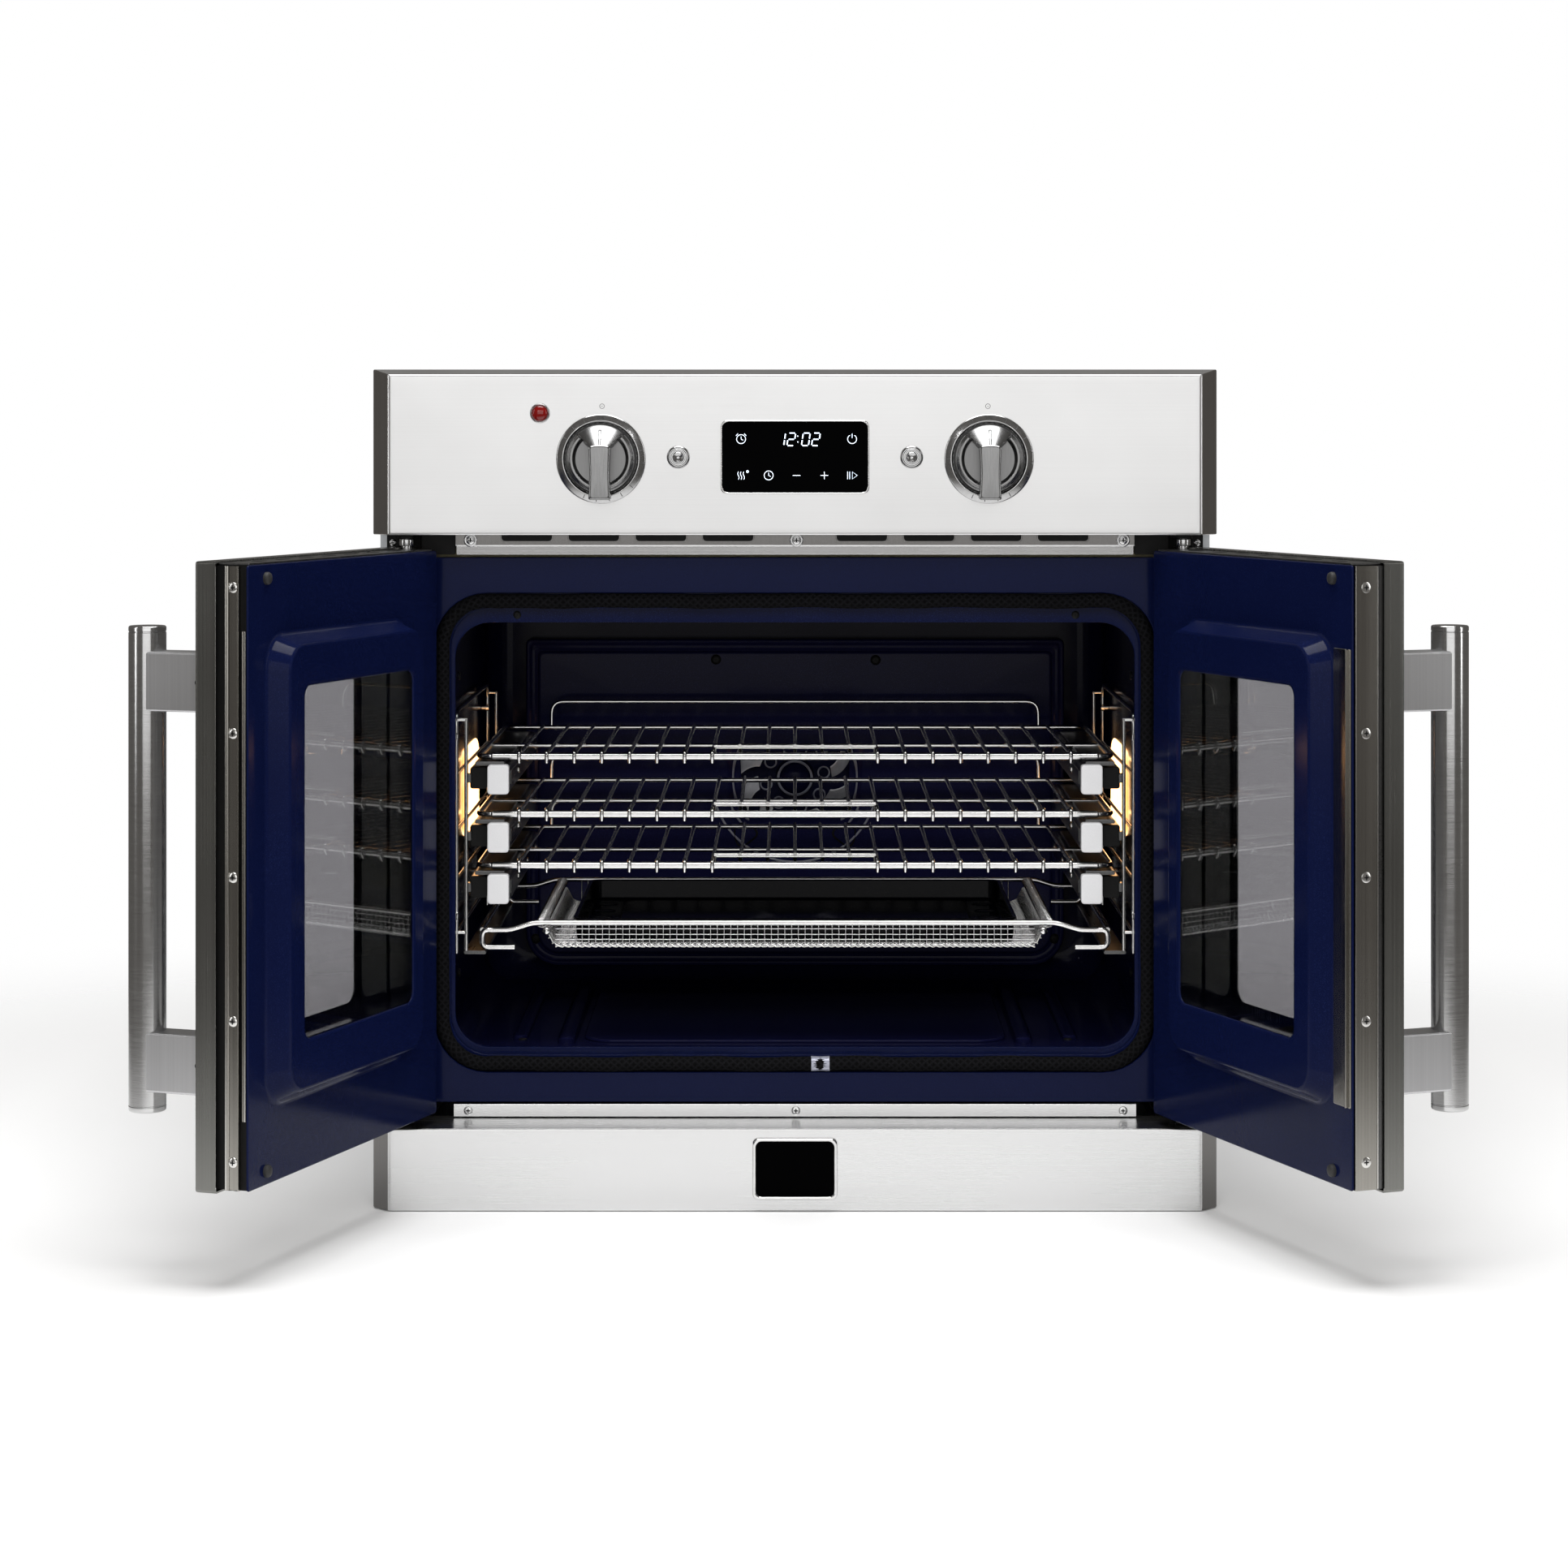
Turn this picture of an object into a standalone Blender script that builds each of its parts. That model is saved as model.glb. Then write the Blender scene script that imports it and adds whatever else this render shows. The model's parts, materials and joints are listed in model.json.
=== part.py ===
"""A built-in electric wall oven with French doors, as an assembly of separate parts.

Units are metres. +Z is up and the front of the oven faces -Y. The origin is the middle of the
base's underside, in the plane of the face frame's front. Both doors rest standing open.
"""
import math

import bmesh
import bpy
import numpy as np
from mathutils import Matrix, Vector

# Sheet thickness, the clearance of a close fit, the gap between separate parts, and the reach of a cutter
SHEET = 0.0015
FIT = 0.0005
GAP = 0.002
CUT = 0.010

# Outside of the oven
TRIM_HALF = 0.3785
FACE_HALF = 0.363
FACE_Y = -0.055
CHAMFER_Y = -0.040
RETURN_Y = 0.0075
PANEL_LOW, PANEL_HIGH = 0.604, 0.747
HEIGHT = 0.752
TRIM_LOW, TRIM_TOP = 0.0003, 0.0736
CASE_HALF = 0.362
CASE_TOP = 0.735
CASE_DEPTH = 0.575
FLANGE_Y, FLANGE_HALF = 0.008, 0.3775
BASE_FRONT = -0.030
HEM_FRONT, HEM_HEIGHT = 0.012, 0.015
TERMINAL_X, TERMINAL_Z, TERMINAL_DEPTH, TERMINAL_CORNER = (0.22, 0.32), (0.62, 0.70), 0.0255, 0.004
GLAND_RADIUS = 0.008

# Face frame, cavity and gasket
FRAME_HALF, FRAME_LOW, FRAME_HIGH, FRAME_BACK = 0.336, 0.087, 0.582, 0.020
GASKET_HALF, GASKET_LOW, GASKET_HIGH = 0.3205, 0.1216, 0.5422
FRAME_CORNER = 0.004
GASKET_RADIUS, GASKET_CORNER, GASKET_Y = 0.0065, 0.0415, 0.0027
REBATE_HALF, REBATE_LOW, REBATE_HIGH, REBATE_CORNER, REBATE_BACK = 0.3135, 0.1285, 0.5355, 0.036, 0.016
LIP_HALF, LIP_LOW, LIP_HIGH, LIP_CORNER = 0.310, 0.1343, 0.5218, 0.032
CAVITY_HALF, CAVITY_LOW, CAVITY_HIGH = 0.3165, 0.132, 0.550
CAVITY_FRONT, CAVITY_BACK = 0.021, 0.440
INSULATION_HALF, INSULATION_LOW, INSULATION_HIGH, INSULATION_BACK = 0.352, 0.100, 0.590, 0.470
INSULATION_CORNER = 0.012

# Controls on the upper panel
KNOB_X, KNOB_Z = 0.1733, 0.672
BEZEL_OUTER, BEZEL_INNER, BEZEL_DEPTH = 0.040, 0.032, 0.0032
KNOB_RADIUS, KNOB_BODY, KNOB_EDGE = 0.0302, 0.011, 0.003
GRIP_WIDTH, GRIP_HEIGHT, GRIP_LOW, GRIP_HIGH = 0.0195, 0.019, -0.0362, 0.0112
SPINDLE_RADIUS, SPINDLE_END = 0.003, -0.030
SWITCH_HALF, SWITCH_DEPTH, SWITCH_CORNER = 0.022, 0.0255, 0.004
BUTTON_X, BUTTON_Z, BUTTON_RADIUS, BUTTON_PROUD = 0.1042, 0.6735, 0.0080, 0.0045
BUTTON_STEM = 0.006
DISPLAY_WIDTH, DISPLAY_HEIGHT, DISPLAY_Z = 0.1304, 0.0638, 0.6736
DISPLAY_CORNER, DISPLAY_PROUD, DISPLAY_DEPTH = 0.005, 0.0015, 0.005
BOARD_X, BOARD_Z, BOARD_Y = (-0.125, 0.090), (0.632, 0.716), (-0.044, -0.042)
MODULE_HALF, MODULE_Z, MODULE_BACK = 0.060, (0.645, 0.700), -0.030
LAMP_X, LAMP_Z, LAMP_RADIUS, LAMP_PROUD, LAMP_STEM = -0.2278, 0.7128, 0.0072, 0.003, 0.012
BADGE_WIDTH, BADGE_HEIGHT, BADGE_Z, BADGE_PROUD = 0.0757, 0.055, 0.0381, 0.003

# Vent strip under the control panel, and the matching strip under the frame
STRIP_HALF, STRIP_Y, STRIP_STEP, STRIP_TOP = 0.307, -0.0135, 0.5930, 0.612
STRIP_LIP_Y, STRIP_LIP_LOW = -0.0035, 0.5845
VENT_SLOT, VENT_PITCH, VENT_FIRST, VENT_LOW = 0.047, 0.0607, 0.0605, 0.5967
VENT_HEIGHT, VENT_CORNER = 0.011, 0.003
VENT_ROOM_HALF, VENT_ROOM_FRONT = 0.358, -0.016
SILL_HALF, SILL_Y, SILL_BACK, SILL_LOW, SILL_HIGH = 0.3095, -0.0035, 0.012, 0.0745, 0.0855
TRIM_REAR_HALF, TRIM_REAR_CUT, TRIM_LEDGE = 0.3625, 0.004, -0.0095

# Doors: u runs from the hinge pin towards the free edge
PIN_X, PIN_Y, PIN_RADIUS, PIN_ENGAGED = 0.3495, -0.0295, 0.0045, 0.020
POST_Y, POST_LOW, POST_HIGH = (0.0085, 0.015), 0.0745, 0.6032
POST_IN, POST_OUT, ARM_HALF, ARM_THICK = 0.0090, 0.0085, 0.0075, 0.0032
DOOR_LOW, DOOR_HIGH = 0.080, 0.592
DOOR_INSET, DOOR_CORNER = 0.003, 0.002
SKIN_U = (-0.029, 0.3475)
SKIN_Y, SKIN_RETURN_Y = -0.052, -0.035
INNER_U = (-0.010, 0.3455)
INNER_Y = -0.0045
PLUG_BASE_U, PLUG_BASE_Z, PLUG_BASE_CORNER = (0.046, 0.316), (0.146, 0.530), 0.028
PLUG_FACE_U, PLUG_FACE_Z, PLUG_FACE_CORNER = (0.054, 0.306), (0.156, 0.522), 0.020
PLUG_DEPTH = 0.018
WINDOW_U, WINDOW_Z, WINDOW_CORNER = (0.075, 0.280), (0.197, 0.4875), 0.010
TUNNEL_U, TUNNEL_Z = (0.060, 0.295), (0.182, 0.5025)
CORE_U = (-0.008, 0.3425)
GLASS = 0.004
CHANNEL_Y = (-0.032, -0.0145)
ASTRAGAL_U, ASTRAGAL_Z, ASTRAGAL_LIP = (0.3175, 0.3445), (0.150, 0.521), 0.005
HANDLE_U, HANDLE_REACH, HANDLE_RADIUS = 0.315, 0.062, 0.0155
HANDLE_Z = (0.137, 0.537)
POST_HALF_U, POST_HALF_Z, POST_Z = 0.014, 0.0245, (0.179, 0.492)
OPEN_DEGREES = {"left": 109.5, "right": 111.0}

# Racks, their telescopic glides and the air-fry basket
RACK_HEIGHTS = {"upper": 0.398, "middle": 0.345, "lower": 0.298}
RACK_HALF, RACK_FRONT, RACK_REAR, RACK_END = 0.2934, 0.030, 0.3495, 0.3665
RAIL, WIRE = 0.007, 0.004
WIRE_COUNT, WIRE_PITCH = 21, 0.0253
BACKSTOP_HALF, BACKSTOP_RISE = 0.245, 0.026
RACK_MIDDLE = 0.182
GLIDE_IN, GLIDE_OUT, GLIDE_DROP, GLIDE_TOP = 0.2615, 0.2805, 0.033, 0.0065
GLIDE_Y, HANGER_X = (0.022, 0.372), (0.268, 0.274)
FIXED_RAIL_Y, FIXED_RAIL_DROP = (0.036, 0.372), (0.030, 0.010)
LADDER_OUTER, LADDER_INNER = 0.3125, 0.2995
LADDER_LOW, LADDER_TOP = 0.2175, 0.442
LADDER_FRONT, LADDER_REAR = 0.028, 0.358
LADDER_RUNGS = (0.235, 0.284, 0.329, 0.380, 0.430)
LADDER_STUDS = (0.250, 0.415)
HOOK_Y, HOOK_DROP, HOOK_REACH = (0.0285, 0.040), (0.024, 0.016), 0.003
BASKET_SHELF, SHELF_REACH = (0.2170, 0.2205), 0.0065
BASKET_HALF, BASKET_FLOOR, BASKET_RIM = 0.218, 0.2235, 0.2485
BASKET_FRONT, BASKET_BACK, BASKET_ARM = 0.034, 0.340, 0.2895
BASKET_SKIN, BASKET_ROD, BASKET_SIDE_ROD, BASKET_FOOT = 0.002, 0.006, 0.005, 0.2215
TRAY_HALF, TRAY_FRONT, TRAY_BACK, TRAY_FLOOR, TRAY_RIM = 0.205, 0.046, 0.330, 0.2265, 0.2475
TRAY_CORNER, TRAY_TAPER = 0.012, 0.004

# Convection fan, heaters, lamps and the cooling blower
FAN_Z, FAN_RADIUS, FAN_HUB, FAN_Y = 0.340, 0.060, 0.018, (0.4165, 0.4355)
FAN_BLADES, BLADE_HALF = 10, 0.0018
MOTOR_RADIUS, MOTOR_HOLE, MOTOR_Y = 0.036, 0.045, (0.472, 0.535)
SHAFT_RADIUS, SHAFT_HOLE = 0.004, 0.008
BAFFLE_HALF, BAFFLE_Z, BAFFLE_Y, BAFFLE_CORNER = 0.2755, (0.1486, 0.483), 0.410, 0.030
FAN_INTAKE = 0.063
RING_RADIUS, RING_WIRE, RING_Y = 0.095, 0.004, 0.426
BROIL_Z, BROIL_RADIUS, BROIL_HALF, BROIL_Y = 0.532, 0.004, 0.230, (0.070, 0.360)
BROIL_PASSES, BROIL_BEND = 6, 0.020
LENS_Y, LENS_Z, LENS_X, LENS_CORNER = (0.168, 0.302), (0.308, 0.392), (0.3137, 0.3235), 0.012
BLOWER_Y, BLOWER_Z, BLOWER_HALF, BLOWER_CORNER = 0.300, (0.612, 0.672), 0.085, 0.030
BLOWER_HUB, BLOWER_RADIUS, BLOWER_BLADES, BLOWER_INLET = 0.020, 0.062, 12, 0.045
DUCT_HALF, DUCT_FRONT, DUCT_RISE, DUCT_DROP = 0.070, 0.100, 0.012, 0.004


def finish(name, colour, roughness, metallic=0.0):
    """A plain Principled material."""
    material = bpy.data.materials.new(name)
    material.use_nodes = True
    shader = material.node_tree.nodes["Principled BSDF"]
    shader.inputs["Base Color"].default_value = (*colour, 1.0)
    shader.inputs["Roughness"].default_value = roughness
    shader.inputs["Metallic"].default_value = metallic
    return material


FINISHES = {
    "stainless": ((0.62, 0.61, 0.60), 0.32, 1.0),
    "chrome": ((0.80, 0.80, 0.80), 0.12, 1.0),
    "galvanised": ((0.50, 0.52, 0.54), 0.45, 1.0),
    "enamel": ((0.012, 0.014, 0.065), 0.15, 0.0),
    "black": ((0.010, 0.010, 0.011), 0.45, 0.0),
    "rope": ((0.025, 0.025, 0.024), 0.90, 0.0),
    "glass": ((0.45, 0.45, 0.46), 0.05, 0.0),
    "display": ((0.004, 0.004, 0.005), 0.08, 0.0),
    "red": ((0.60, 0.02, 0.01), 0.25, 0.0),
    "wool": ((0.72, 0.66, 0.45), 0.95, 0.0),
    "board": ((0.02, 0.16, 0.07), 0.50, 0.0),
    "heater": ((0.10, 0.10, 0.10), 0.55, 0.6),
    "lamp": ((1.00, 0.62, 0.25), 0.25, 0.0),
}


def add_mesh(name, vertices, faces, look):
    """A mesh object with outward faces, in its own material."""
    mesh = bpy.data.meshes.new(name)
    mesh.from_pydata([tuple(v) for v in vertices], [], faces)
    shape = bmesh.new()
    shape.from_mesh(mesh)
    bmesh.ops.recalc_face_normals(shape, faces=shape.faces)
    shape.to_mesh(mesh)
    shape.free()
    mesh.materials.append(finish(name, *FINISHES[look]))
    part = bpy.data.objects.new(name, mesh)
    bpy.context.scene.collection.objects.link(part)
    return part


def rectangle(a, b, radius=0.0, steps=4):
    """A rectangle's outline with round corners, counter-clockwise from its right side."""
    points = []
    centres = [(a[1] - radius, b[0] + radius), (a[1] - radius, b[1] - radius),
               (a[0] + radius, b[1] - radius), (a[0] + radius, b[0] + radius)]
    for quarter, (ca, cb) in enumerate(centres):
        if radius == 0.0:
            points.append((ca, cb))
            continue
        for step in range(steps + 1):
            angle = math.pi / 2 * (quarter - 1 + step / steps)
            points.append((ca + radius * math.cos(angle), cb + radius * math.sin(angle)))
    return points


def shrink(pair, amount):
    """A span with both its ends moved inwards."""
    return pair[0] + amount, pair[1] - amount


def circle(a, b, radius, sides=24):
    """A circle's outline."""
    turns = [2 * math.pi * k / sides for k in range(sides)]
    return [(a + radius * math.cos(t), b + radius * math.sin(t)) for t in turns]


def place(a, b, along, axis):
    """The outline point (a, b) at a distance along an axis."""
    return {"X": (along, a, b), "Y": (a, along, b), "Z": (a, b, along)}[axis]


def extrude(name, outline, low, high, look, axis="Y"):
    """A prism of an outline between two places on an axis."""
    count = len(outline)
    vertices = [place(a, b, along, axis) for along in (low, high) for a, b in outline]
    sides = [(k, (k + 1) % count, count + (k + 1) % count, count + k) for k in range(count)]
    caps = [tuple(range(count)), tuple(range(2 * count - 1, count - 1, -1))]
    return add_mesh(name, vertices, sides + caps, look)


def stack(name, loops, look, closed):
    """A skin over loops of points, capped at its ends, or closed on itself like a ring."""
    count, rows = len(loops[0]), len(loops)
    vertices = [point for loop in loops for point in loop]
    faces = []
    for row in range(rows if closed else rows - 1):
        here, there = row * count, (row + 1) % rows * count
        for k in range(count):
            after = (k + 1) % count
            faces.append((here + k, here + after, there + after, there + k))
    if not closed:
        faces += [tuple(range(count)), tuple(range(rows * count - 1, (rows - 1) * count - 1, -1))]
    return add_mesh(name, vertices, faces, look)


def level(outline, y):
    """An outline's points at one depth."""
    return [(x, y, z) for x, z in outline]


def box_frame(name, boxes, look):
    """One closed solid that fills every given box, each a pair of opposite corners."""
    corners = np.sort(np.round(np.array(boxes, float), 6), axis=1)
    lines = [np.unique(corners[:, :, axis]) for axis in range(3)]
    filled = np.zeros([len(line) + 1 for line in lines], bool)
    for low, high in corners:
        span = [slice(np.searchsorted(line, a) + 1, np.searchsorted(line, b) + 1)
                for line, a, b in zip(lines, low, high)]
        filled[tuple(span)] = True
    shape = bmesh.new()
    known = {}

    def corner(cell):
        if cell not in known:
            known[cell] = shape.verts.new([lines[axis][cell[axis]] for axis in range(3)])
        return known[cell]

    for axis in range(3):
        first, second = (axis + 1) % 3, (axis + 2) % 3
        for cell in np.argwhere(np.diff(filled.astype(int), axis=axis) != 0):
            base = cell.copy()
            base[[first, second]] -= 1
            ring = []
            for step_a, step_b in ((0, 0), (1, 0), (1, 1), (0, 1)):
                at = base.copy()
                at[first] += step_a
                at[second] += step_b
                ring.append(corner(tuple(at)))
            shape.faces.new(ring)
    bmesh.ops.recalc_face_normals(shape, faces=shape.faces)
    bmesh.ops.dissolve_limit(shape, angle_limit=0.01, verts=shape.verts, edges=shape.edges)
    mesh = bpy.data.meshes.new(name)
    shape.to_mesh(mesh)
    shape.free()
    mesh.materials.append(finish(name, *FINISHES[look]))
    part = bpy.data.objects.new(name, mesh)
    bpy.context.scene.collection.objects.link(part)
    return part


def combine(target, tools, operation="DIFFERENCE"):
    """Cut the tools out of a part, or weld them to it, and remove them."""
    for tool in tools:
        modifier = target.modifiers.new(operation, "BOOLEAN")
        modifier.operation = operation
        modifier.object = tool
        graph = bpy.context.evaluated_depsgraph_get()
        shaped = bpy.data.meshes.new_from_object(target.evaluated_get(graph))
        target.modifiers.remove(modifier)
        target.data = shaped
        bpy.data.objects.remove(tool)
    look = target.data.materials[0]
    target.data.materials.clear()
    target.data.materials.append(look)
    return target


def tube(name, points, radius, look, closed=False, resolution=2):
    """A round rod along a path of points."""
    curve = bpy.data.curves.new(name, "CURVE")
    curve.dimensions = "3D"
    curve.bevel_depth = radius
    curve.bevel_resolution = resolution
    curve.use_fill_caps = not closed
    spline = curve.splines.new("POLY")
    spline.points.add(len(points) - 1)
    for slot, point in zip(spline.points, points):
        slot.co = (*point, 1.0)
    spline.use_cyclic_u = closed
    curve.materials.append(finish(name, *FINISHES[look]))
    part = bpy.data.objects.new(name, curve)
    bpy.context.scene.collection.objects.link(part)
    return part


def pivot(part, point):
    """Put a part's origin on its joint axis, leaving its shape where it is."""
    part.data.transform(Matrix.Translation(-Vector(point)))
    part.location = point


def build_case():
    """Outer casing: two sides with cabinet flanges, base, top and rear."""
    for side, name in ((-1, "left"), (1, "right")):
        wall = [(side * (CASE_HALF - SHEET), FLANGE_Y, GAP), (side * CASE_HALF, CASE_DEPTH, CASE_TOP)]
        flange = [(side * (CASE_HALF - SHEET), FLANGE_Y, GAP),
                  (side * FLANGE_HALF, FLANGE_Y + SHEET, CASE_TOP)]
        box_frame(f"side_panel_{name}", [wall, flange], "galvanised")
    inside = CASE_HALF - SHEET - FIT
    back = CASE_DEPTH - GAP
    floor = [(-inside, BASE_FRONT, 0.0), (inside, back, SHEET)]
    hems = [[(side * inside, HEM_FRONT, 0.0), (side * (inside - SHEET), back, HEM_HEIGHT)]
            for side in (-1, 1)]
    box_frame("base_pan", [floor, *hems], "galvanised")
    lid = [(-inside, FLANGE_Y + GAP, CASE_TOP - SHEET), (inside, back, CASE_TOP)]
    box_frame("top_cover", [lid], "galvanised")
    rear = [(-inside, CASE_DEPTH - SHEET, GAP), (inside, CASE_DEPTH, CASE_TOP)]
    box_frame("rear_panel", [rear], "galvanised")

    box = extrude("terminal_box", rectangle(TERMINAL_X, TERMINAL_Z, TERMINAL_CORNER),
                  CASE_DEPTH + FIT, CASE_DEPTH + FIT + TERMINAL_DEPTH, "galvanised")
    inside_box = rectangle(shrink(TERMINAL_X, SHEET), shrink(TERMINAL_Z, SHEET), TERMINAL_CORNER - SHEET)
    room = extrude("room", inside_box, CASE_DEPTH, CASE_DEPTH + FIT + TERMINAL_DEPTH - SHEET, "galvanised")
    middle = sum(TERMINAL_X) / 2, CASE_DEPTH + TERMINAL_DEPTH / 2
    gland = extrude("gland", circle(*middle, GLAND_RADIUS), TERMINAL_Z[0] - CUT, TERMINAL_Z[0] + CUT,
                    "galvanised", "Z")
    combine(box, [room, gland])


def folded_cover(name, low, high, top_rise):
    """A sheet cover with a flat face and sloping side returns, open at the back."""
    def section(half, z_low, z_high, y):
        return [(-half, y, z_low), (half, y, z_low), (half, y, z_high), (-half, y, z_high)]

    inner = SHEET / math.sqrt(2)
    wide, rise = TRIM_HALF - SHEET, high + top_rise
    cover = stack(name, [section(FACE_HALF, low, high, FACE_Y),
                         section(TRIM_HALF, low, rise, CHAMFER_Y),
                         section(TRIM_HALF, low, rise, RETURN_Y)], "stainless", False)
    hollow = stack("hollow", [section(FACE_HALF - inner, low + SHEET, high - inner, FACE_Y + SHEET),
                              section(wide, low + SHEET, rise - SHEET, CHAMFER_Y + inner),
                              section(wide, low + SHEET, rise - SHEET, RETURN_Y + CUT)], "stainless", False)
    return combine(cover, [hollow])


def build_front():
    """Control panel, bottom trim, the two strips between them and the blank badge."""
    panel = folded_cover("control_panel", PANEL_LOW, PANEL_HIGH, HEIGHT - PANEL_HIGH)
    half_w, half_h = DISPLAY_WIDTH / 2 + FIT, DISPLAY_HEIGHT / 2 + FIT
    holes = [rectangle((-half_w, half_w), (DISPLAY_Z - half_h, DISPLAY_Z + half_h), DISPLAY_CORNER),
             circle(LAMP_X, LAMP_Z, LAMP_RADIUS + FIT)]
    for side in (-1, 1):
        holes.append(circle(side * KNOB_X, KNOB_Z, SPINDLE_RADIUS + 2 * FIT, 16))
        holes.append(circle(side * BUTTON_X, BUTTON_Z, BUTTON_RADIUS + FIT))
    cutters = [extrude("cutter", hole, FACE_Y - CUT, FACE_Y + CUT, "stainless") for hole in holes]
    vent_outline = rectangle((-VENT_ROOM_HALF, VENT_ROOM_HALF), (PANEL_LOW - CUT, PANEL_LOW + CUT))
    vent_room = extrude("vent_room", vent_outline, VENT_ROOM_FRONT, RETURN_Y + CUT, "stainless")
    combine(panel, [*cutters, vent_room])

    trim = folded_cover("bottom_trim", TRIM_LOW, TRIM_TOP, 0.0)
    across = (-TRIM_REAR_HALF, TRIM_REAR_HALF)
    rear = [extrude("rear", rectangle(across, (TRIM_LOW - CUT, TRIM_LOW + TRIM_REAR_CUT)),
                    BASE_FRONT - 2 * FIT, RETURN_Y + CUT, "stainless"),
            extrude("rear", rectangle(across, (TRIM_TOP - TRIM_REAR_CUT, TRIM_TOP + CUT)),
                    TRIM_LEDGE, RETURN_Y + CUT, "stainless")]
    combine(trim, rear)

    strip = box_frame("vent_strip", [
        [(-STRIP_HALF, STRIP_Y, STRIP_STEP), (STRIP_HALF, STRIP_Y + SHEET, STRIP_TOP)],
        [(-STRIP_HALF, STRIP_Y, STRIP_STEP), (STRIP_HALF, STRIP_LIP_Y + SHEET, STRIP_STEP + SHEET)],
        [(-STRIP_HALF, STRIP_LIP_Y, STRIP_LIP_LOW), (STRIP_HALF, STRIP_LIP_Y + SHEET, STRIP_STEP + SHEET)]],
        "stainless")
    slots = []
    for k in range(4):
        for side in (-1, 1):
            x = side * (VENT_FIRST + k * VENT_PITCH)
            span = (x - VENT_SLOT / 2, x + VENT_SLOT / 2)
            outline = rectangle(span, (VENT_LOW, VENT_LOW + VENT_HEIGHT), VENT_CORNER, 3)
            slots.append(extrude("slot", outline, STRIP_Y - CUT, STRIP_Y + GAP, "stainless"))
    combine(strip, slots)
    box_frame("bottom_strip", [
        [(-SILL_HALF, SILL_Y, SILL_LOW), (SILL_HALF, SILL_Y + SHEET, SILL_HIGH)],
        [(-SILL_HALF, SILL_Y, SILL_LOW), (SILL_HALF, SILL_BACK, SILL_LOW + SHEET)]], "stainless")
    half_w, half_h = BADGE_WIDTH / 2, BADGE_HEIGHT / 2
    extrude("badge_plate", rectangle((-half_w, half_w), (BADGE_Z - half_h, BADGE_Z + half_h), DISPLAY_CORNER),
            FACE_Y - BADGE_PROUD, FACE_Y - FIT, "display")


def build_controls():
    """Display, indicator, knobs on their switches, push buttons and the electronics board."""
    half_w, half_h = DISPLAY_WIDTH / 2, DISPLAY_HEIGHT / 2
    glass = rectangle((-half_w, half_w), (DISPLAY_Z - half_h, DISPLAY_Z + half_h), DISPLAY_CORNER)
    extrude("display_glass", glass, FACE_Y - DISPLAY_PROUD, FACE_Y + DISPLAY_DEPTH, "display")
    box_frame("control_board", [
        [(BOARD_X[0], BOARD_Y[0], BOARD_Z[0]), (BOARD_X[1], BOARD_Y[1], BOARD_Z[1])],
        [(-MODULE_HALF, sum(BOARD_Y) / 2, MODULE_Z[0]), (MODULE_HALF, MODULE_BACK, MODULE_Z[1])]], "board")
    extrude("indicator_lamp", circle(LAMP_X, LAMP_Z, LAMP_RADIUS, 20),
            FACE_Y - LAMP_PROUD, FACE_Y + LAMP_STEM, "red")
    rear = FACE_Y - 2 * FIT
    for side, name in ((-1, "left"), (1, "right")):
        x = side * KNOB_X
        rings = [level(circle(x, KNOB_Z, radius, 32), y) for radius, y in (
            (BEZEL_OUTER, FACE_Y - FIT), (BEZEL_OUTER, FACE_Y - BEZEL_DEPTH),
            (BEZEL_INNER, FACE_Y - BEZEL_DEPTH), (BEZEL_INNER, FACE_Y - FIT))]
        stack(f"knob_bezel_{name}", rings, "stainless", True)
        body = [level(circle(x, KNOB_Z, radius, 32), y) for radius, y in (
            (KNOB_RADIUS, rear), (KNOB_RADIUS, rear - KNOB_BODY + KNOB_EDGE),
            (KNOB_RADIUS - KNOB_EDGE, rear - KNOB_BODY))]
        knob = stack(f"knob_{name}", body, "stainless", False)
        bar = rectangle((x - GRIP_WIDTH / 2, x + GRIP_WIDTH / 2),
                        (KNOB_Z + GRIP_LOW, KNOB_Z + GRIP_HIGH), 2 * KNOB_EDGE)
        seat = rear - KNOB_BODY + KNOB_EDGE
        grip = extrude("grip", bar, rear - KNOB_BODY - GRIP_HEIGHT, seat, "stainless")
        spindle = extrude("spindle", circle(x, KNOB_Z, SPINDLE_RADIUS, 12), seat, SPINDLE_END, "stainless")
        combine(knob, [grip, spindle], "UNION")
        pivot(knob, (x, rear, KNOB_Z))
        extrude(f"rotary_switch_{name}", rectangle((x - SWITCH_HALF, x + SWITCH_HALF),
                                                   (KNOB_Z - SWITCH_HALF, KNOB_Z + SWITCH_HALF), SWITCH_CORNER),
                SPINDLE_END + FIT, SPINDLE_END + FIT + SWITCH_DEPTH, "black")
        button = extrude(f"button_{name}", circle(side * BUTTON_X, BUTTON_Z, BUTTON_RADIUS),
                         FACE_Y - BUTTON_PROUD, FACE_Y + BUTTON_STEM, "stainless")
        pivot(button, (side * BUTTON_X, FACE_Y, BUTTON_Z))


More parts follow.
